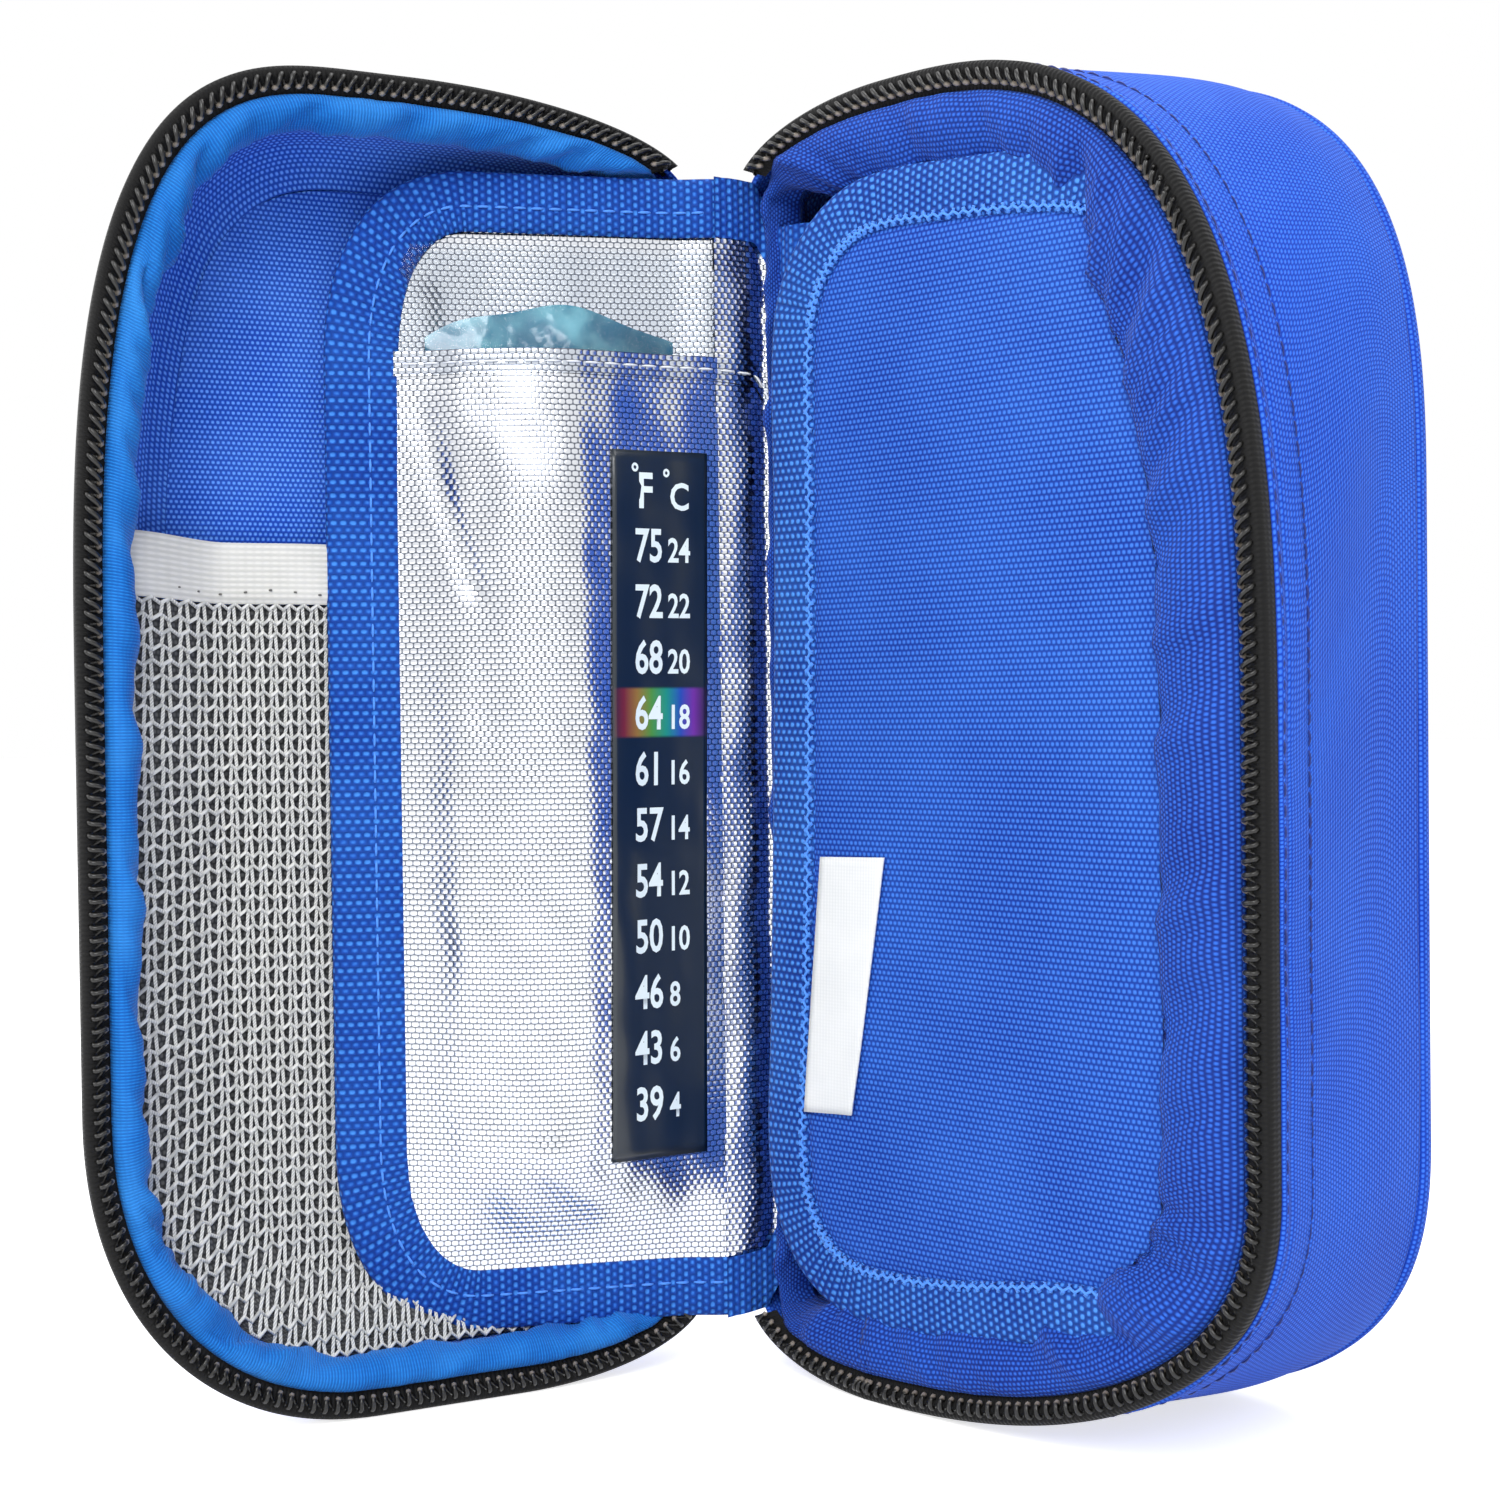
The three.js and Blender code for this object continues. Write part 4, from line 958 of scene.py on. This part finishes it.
def page_foils():
    """The pocket's foil with its hem and seam, and the page's two foils behind it."""
    low, high = PAGE_LOW + BIND_H - UNDER, PAGE_HIGH - BIND_H + UNDER
    s, z = opening(low, HEM_TOP, 110)
    made = on_page("pocket_foil", s, pocket_off(s, z), z, foil, "pouch_front_panel")
    s, z = opening(HEM_TOP - HEM, HEM_TOP + 0.2, 8)
    on_page("pocket_hem", s, pocket_off(s, z, 0.25), z, hem_foil, "pouch_front_hem")
    s, z = opening(HEM_TOP - 2.0, HEM_TOP - 1.9, 2)
    line = page_at(s, pocket_off(s, z, 0.35), z)[0]
    ride(stitches("hem_stitch", line, OFF_PAGE, white_thread, 2.6, 0.9, 0.2, 0.12), "ice_page", "foil")
    s, z = opening(low, high, 60)
    off = 0.2 + 0.25 * ripples(s, z, 24, 51) + root_lift(s)
    for made in (
        on_page("page_back_foil", s, off, z, foil, "pouch_back_panel"),
        on_page("page_rear_foil", s, off - 1.0, z, plain_foil),
    ):
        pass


def ice_pack():
    """The pack's clear film above the hem, and its gel pillow, which the pocket's foil holds flat."""
    z = linspace(HEM_TOP - 3, 196.0, 30)[:, None]
    s = linspace(-2.0, 56.0, 60)[None]
    above = smooth((z - HEM_TOP) / 18)
    waves = 0.5 * ripples(s, z, 13, 61) * above
    off = 1.2 + (pocket_off(s, HEM_TOP) - 1.2) * (1 - 0.45 * above) - 0.4 + waves
    piece("pack_film", page_at(s, off, z), film, "ice_pack", "film", "ice_pack_seal")
    s = linspace(8.0, 51.0, 40)[None]
    across = (s - 29.5) / 21.5
    crown = 186.0 - 6.0 * across**2 + 0.6 * np.sin(s * 0.3)
    z = 30 + (crown - 30) * linspace(0, 1, 60)[:, None]
    taper = smooth((crown - z) / 14.0)
    side = np.clip(1 - np.abs(across) ** 4, 0, 1)
    off = 0.9 + 3.4 * np.sqrt(side * taper + 1e-4) + 0.2 * ripples(s, z, 14, 71)
    off = np.minimum(off, pocket_off(s, z) - 0.7)
    made = piece("gel_pillow", page_at(s, off, z), gel, "ice_pack", "gel", "ice_pack_gel", uv=stacked(s, z))


page_binding()
page_foils()
ice_pack()


# Root of the page: a rolled fold on the hinge line, and a foil bridge to the deep half


def root():
    turn = linspace(0, 2 * pi, 17)[:-1]
    z = linspace(12.0, 206.5, 60)
    roll = main_at(0.6 * np.cos(turn)[None], 0.6 * np.sin(turn)[None] - 0.3, z[:, None])
    piece("page_fold_roll", roll, foil, "ice_page", "foil", "pouch_hinge_fold", ring=True)
    straight = page_at(np.array([0.9, -2.4, -5.4, -8.4]), np.array([2.9, 2.1, 1.1, 0.0]), 0.0)[:, :2]
    line = curve_through([*straight, (7.6, 7.9), (11.5, 7.2), (15.5, 8.2)], 0.5)
    reach = along(line)
    ahead, up = 0.85, -0.53

    def bridge(low, high, count, lift, lean, tuck):
        """Points from the page to the deep half, which draw in towards the page's middle on the way."""
        z = linspace(low, high, count)[:, None]
        fold = lift + tuck * pleats(reach, 3, (2.4, 3.7, 5.5))[None] + 0.15 * ripples(reach[None], z, 12, 81)
        drawn = lean * reach + 8.0 * smooth((reach - 7.5) / 6.0)
        z = z - drawn[None] * np.clip((z - PAGE_MIDDLE) / 60, -1, 1)
        return main_at(line[None, :, 0] + fold * ahead, line[None, :, 1] + fold * up, z)

    for label, low, high, material, slot, lift, lean, tuck in (
        ("bridge_foil", 19.0, 199.5, foil, "foil", 0.0, 0.0, 0.0),
        ("bridge_hem", HEM_TOP - HEM, HEM_TOP + 0.2, hem_foil, "foil", 0.3, 0.05, 0.0),
        ("bridge_web_low", PAGE_LOW, PAGE_LOW + BIND_H, webbing, "webbing", 0.75, 0.1, 0.22),
        ("bridge_web_high", PAGE_HIGH - BIND_H, PAGE_HIGH, webbing, "webbing", 0.75, 0.03, 0.22),
    ):
        points = bridge(low, high, 90 if slot == "foil" else 16, lift, lean, tuck)
        uv = stacked(-reach[None], points[..., 2]) + (0.0 if slot == "foil" else 100.0)
        made = piece(label, points, material, "main_half", slot, uv=uv)
        if label == "bridge_foil":
            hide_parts("pouch_web")
    seam = bridge(HEM_TOP - 2.0, HEM_TOP - 1.9, 2, 0.45, 0.05, 0.0)[0]
    out = np.array([ahead, up, 0.0])
    stitch = stitches("bridge_hem_stitch", seam, out, white_thread, 2.6, 0.9, 0.2, 0.1)
    ride(stitch, "main_half", "foil")


root()


# Strip thermometer


def on_strip(x, y, lift):
    """Points over the pocket's foil, from the strip's left edge and its foot."""
    s, z = 21.9 - 1.6 * y / 120 - x, 39.2 + y
    return page_at(s, pocket_off(s, z, lift), z)


def strip():
    u = linspace(0, 17.5, 24)[:, None]
    v = linspace(0, 121.6, 60)[None]
    made = thicken(grid("thermometer_face", on_strip(u, v, 0.4), strip_print, uv=stacked(u, v)), 0.25)
    ride(made, "ice_page", "thermometer", "thermometer_strip")
    rows = zip((75, 72, 68, 64, 61, 57, 54, 50, 46, 43, 39), range(24, 3, -2))
    words = [("°", 3.1, 114.2, 3.6, 0.8), ("F", 4.3, 110.4, 6.0, 0.72), ("°", 8.9, 113.6, 3.4, 0.8),
             ("C", 10.2, 110.2, 4.6, 0.8)]
    for number, (left, right) in enumerate(rows):
        foot = 101.2 - 9.57 * number
        words.append((str(left), 3.8, foot, 5.6, 0.66))
        words.append((str(right), 9.9 if right > 9 else 10.2, foot, 4.1, 0.72))
    for number, (word, x, y, size, narrow) in enumerate(words):
        letters = bpy.data.curves.new(f"word_{number}", "FONT")
        letters.body = word
        letters.size = size * 1.42
        letters.resolution_u = 3
        letters.offset = 0.028 * size
        holder = add(f"word_{number}", letters)
        bpy.context.view_layer.update()
        mesh = bpy.data.meshes.new_from_object(holder)
        bpy.data.objects.remove(holder)
        p = np.array([tuple(vertex.co) for vertex in mesh.vertices])
        spot = metres(on_strip(p[:, 0] * narrow + x + 0.2, p[:, 1] + y + 1.4, 0.47))
        mesh.vertices.foreach_set("co", spot.astype(np.float32).ravel())
        mesh.materials.clear()
        mesh.materials.append(ink)
        mesh.update()
        ride(add(f"number_{number + 1}", mesh), "ice_page", "thermometer")


strip()


# Mesh pocket of the lid


NET_INSET = 6.5


def net_depth(x, z):
    """Depth of the pocket's net, which lies near the floor and rises to the lining's roll at its edges."""
    line = case_outline("lid", NET_INSET)
    line = line[(line[:, 1] < 60) & (line[:, 0] > 20)]
    line = line[np.argsort(line[:, 0])]
    low = np.interp(x, line[:, 0], line[:, 1])
    gap = np.minimum(free_edge("lid", NET_INSET, z) - x, z - low)
    return 16.9 - 9.0 * (1 - smooth(gap / 15)) - 0.4 * ripples(x, z, 40, 91)


def pocket_net():
    """Zigzag threads in rows, joined at each bend, so that slanted slits stay between them."""
    wide, tall, swing = 1.25, 2.55, 0.5
    vertices, faces, loops = [], [], []

    def put_part(points, corners, uv):
        start = sum(len(part) for part in vertices)
        vertices.append(points)
        faces.extend(corners + start)
        loops.append(uv)

    bends = []
    for row, z in enumerate(np.arange(8.0, NET_TOP, tall)):
        x = np.arange(12.0, free_edge("lid", NET_INSET, z), wide)
        side = np.where((np.arange(len(x)) + row) % 2 == 0, 1.0, -1.0)
        high = z + swing * side + 0.12 * np.sin(5.1 * x + 2.7 * row)
        bends.append((x, high))
        rings = tube(lid_soft(x, net_depth(x, high), high), 0.36, 5)
        corners = quads(*rings.shape[:2], ring=True)[2]
        flat = np.repeat(stacked(x, high), rings.shape[1], 0)
        put_part(rings.reshape(-1, 3), corners, flat[corners.ravel()])
    for (xa, za), (xb, zb) in zip(bends, bends[1:]):
        count = min(len(xa), len(xb))
        x, low, high = xa[:count], za[:count], zb[:count]
        lean = 0.3 * np.where(np.arange(count) % 2 == 0, 1.0, -1.0)
        corners = [(x - 0.3, low), (x + 0.3, low), (x + 0.3 + lean, high), (x - 0.3 + lean, high)]
        points = np.stack([lid_soft(a, net_depth(x, b) + 0.08, b) for a, b in corners], 1)
        uv = np.stack([stacked(a, b) for a, b in corners], 1)
        put_part(points.reshape(-1, 3), np.arange(4 * count).reshape(count, 4), uv.reshape(-1, 2))
    made = new_object("pocket_net", metres(np.concatenate(vertices)), faces, net, np.concatenate(loops))
    ride(made, "lid", "mesh", "mesh_pocket_net")


def pocket_backing():
    # A dark grey sheet 1 mm behind the net, which darkens the net's holes.
    z = linspace(7.0, NET_TOP, 70)[None]
    left = 12.0 + 10.0 * smooth((24 - z) / 20)
    x = left + (free_edge("lid", NET_INSET, z) - left) * linspace(0, 1, 50)[:, None]
    made = piece("pocket_backing", lid_soft(x, net_depth(x, z) + 1.0, z), net_dark_sheet, "lid", "mesh")


def pocket_elastic():
    """The pocket's elastic top with its grey stitches."""
    x = linspace(10.5, free_edge("lid", NET_INSET, 140.0), 90)[:, None]
    z = linspace(NET_TOP - 0.4, ELASTIC_TOP, 16)[None]
    lip = np.array([0.0, 0.5] + [0.65] * 12 + [0.5, 0.0])[None]
    depth = net_depth(x, z * 0 + 130) - lip - 0.25
    points = lid_soft(x, depth, z + 0.25 * ripples(x, 0 * z, 40, 95))
    made = grid("pocket_elastic", points, elastic_cloth, uv=stacked(z, x))
    ride(made, "lid", "elastic", "mesh_pocket_elastic")
    x = linspace(14, 98, 60)
    line = lid_soft(x, net_depth(x, 130.0) - 0.95, NET_TOP + 1.9 + 0.4 * np.sin(x / 3))
    toward = lid_at(0.0, -1.0, 0.0) - lid_at(0.0, 0.0, 0.0)
    ride(stitches("elastic_stitch", line, toward, grey_thread, 0.6, 3.6, 0.2, 0.0), "lid", "elastic")


pocket_net()
pocket_backing()
pocket_elastic()


# Pen loops on the floor of the deep half


def pen_loops():
    turn = linspace(pi, 0, 15)
    loops = [stacked(centre + 9.95 * np.cos(turn), 15.4 * np.sin(turn)) for centre in (32.0, 56.0, 80.0)]
    line = np.concatenate([[(16.8, 0), (19.0, 0), (21.3, 0)], *loops, [(91.0, 0), (93.0, 0), (95.2, 0)]])
    band = main_at(line[:, :1], 44.6 - line[:, 1:], linspace(98, 123, 16)[None])
    made = thicken(grid("pen_loops", band, elastic_cloth), 0.9)
    ride(made, "main_half", "elastic", "pen_loop_band")


pen_loops()

for solid in ("zipper_slider", "zipper_pull_tab", "zipper_stop"):
    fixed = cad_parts[solid]
    fixed.data.materials.clear()
    fixed.data.materials.append(metal)


# Floor, light and camera


def seen_by_camera(tree):
    """The light path, and 1 where it comes to the camera straight or by a gloss, or else 0."""
    path = node(tree, "LightPath").outputs
    return path, reckon(tree, "MAXIMUM", path["Is Camera Ray"], path["Is Glossy Ray"])


def floor():
    """A pale floor that glows for the camera, so that it stays near white."""
    size = 6.0
    places = [(-size, -size, 0), (size, -size, 0), (size, size, 0), (-size, size, 0)]
    ground = bpy.data.meshes.new("floor")
    ground.from_pydata(places, [], [(0, 1, 2, 3)])
    made = add("floor", ground)
    material, tree = new_material("pale_floor")
    shader = tree.nodes["Principled BSDF"]
    glow = node(tree, "Emission", Strength=reckon(tree, "MULTIPLY", seen_by_camera(tree)[1], 0.7))
    both = node(tree, "AddShader")
    for value, socket in (
        ((0.82, 0.82, 0.82, 1), shader.inputs["Base Color"]), (0.9, shader.inputs["Roughness"]),
        (0.1, shader.inputs["Specular IOR Level"]), (shader.outputs[0], both.inputs[0]),
        (glow.outputs[0], both.inputs[1]), (both.outputs[0], tree.nodes["Material Output"].inputs[0]),
    ):
        put(tree, value, socket)
    ground.materials.append(material)


def lights():
    """A white world, dimmer as a light than as the camera sees it, and three lamps."""
    world = bpy.data.worlds.new("studio")
    bpy.context.scene.world = world
    world.use_nodes = True
    tree = world.node_tree
    background = tree.nodes["Background"].inputs
    background["Color"].default_value = (1, 1, 1, 1)
    path, seen = seen_by_camera(tree)
    seen = reckon(tree, "MAXIMUM", seen, path["Is Transmission Ray"])
    put(tree, reckon(tree, "MULTIPLY_ADD", seen, 0.55, 0.45), background["Strength"])
    for name, spot, aim, size, power in (
        ("key", (0.75, -1.15, 1.1), (0, -0.03, 0.11), 0.9, 22.0),
        ("fill", (-0.9, -0.9, 0.7), (0, -0.03, 0.11), 1.1, 12.0),
        ("top", (0.1, 0.3, 1.4), (0, 0, 0.1), 1.0, 8.0),
    ):
        light = bpy.data.lights.new(name, "AREA")
        light.size = size
        light.energy = power
        lamp = add(name, light)
        lamp.location = spot
        lamp.rotation_mode = "QUATERNION"
        lamp.rotation_quaternion = (Vector(aim) - Vector(spot)).to_track_quat("-Z", "Y")


floor()
lights()


def camera():
    """The photo's camera, with its focal length in pixels of the photo's width."""
    photo_width, sensor = 1500, 36.0
    focal, distance, side, rise = 2200.0, 388.6, -5.1, 0.9
    yaw, pitch, roll = radians(45.6), radians(1.0), radians(-0.7)
    ahead = np.array([-sin(yaw) * cos(pitch), cos(yaw) * cos(pitch), -sin(pitch)])
    right = np.array([cos(yaw), sin(yaw), 0.0])
    up = np.cross(right, ahead)
    right, up = right * cos(roll) + up * sin(roll), up * cos(roll) - right * sin(roll)
    spot = metres(np.array([0, 0, MIDDLE]) - ahead * distance - right * side - up * rise)
    data = bpy.data.cameras.new("camera")
    data.sensor_width = sensor
    data.lens = focal / photo_width * sensor
    data.clip_start = 0.01
    made = add("camera", data)
    matrix = Matrix.Identity(4)
    for row in range(3):
        matrix[row][:] = right[row], up[row], -ahead[row], spot[row]
    made.matrix_world = matrix
    bpy.context.scene.camera = made


camera()

bpy.context.scene.view_settings.view_transform = "Standard"
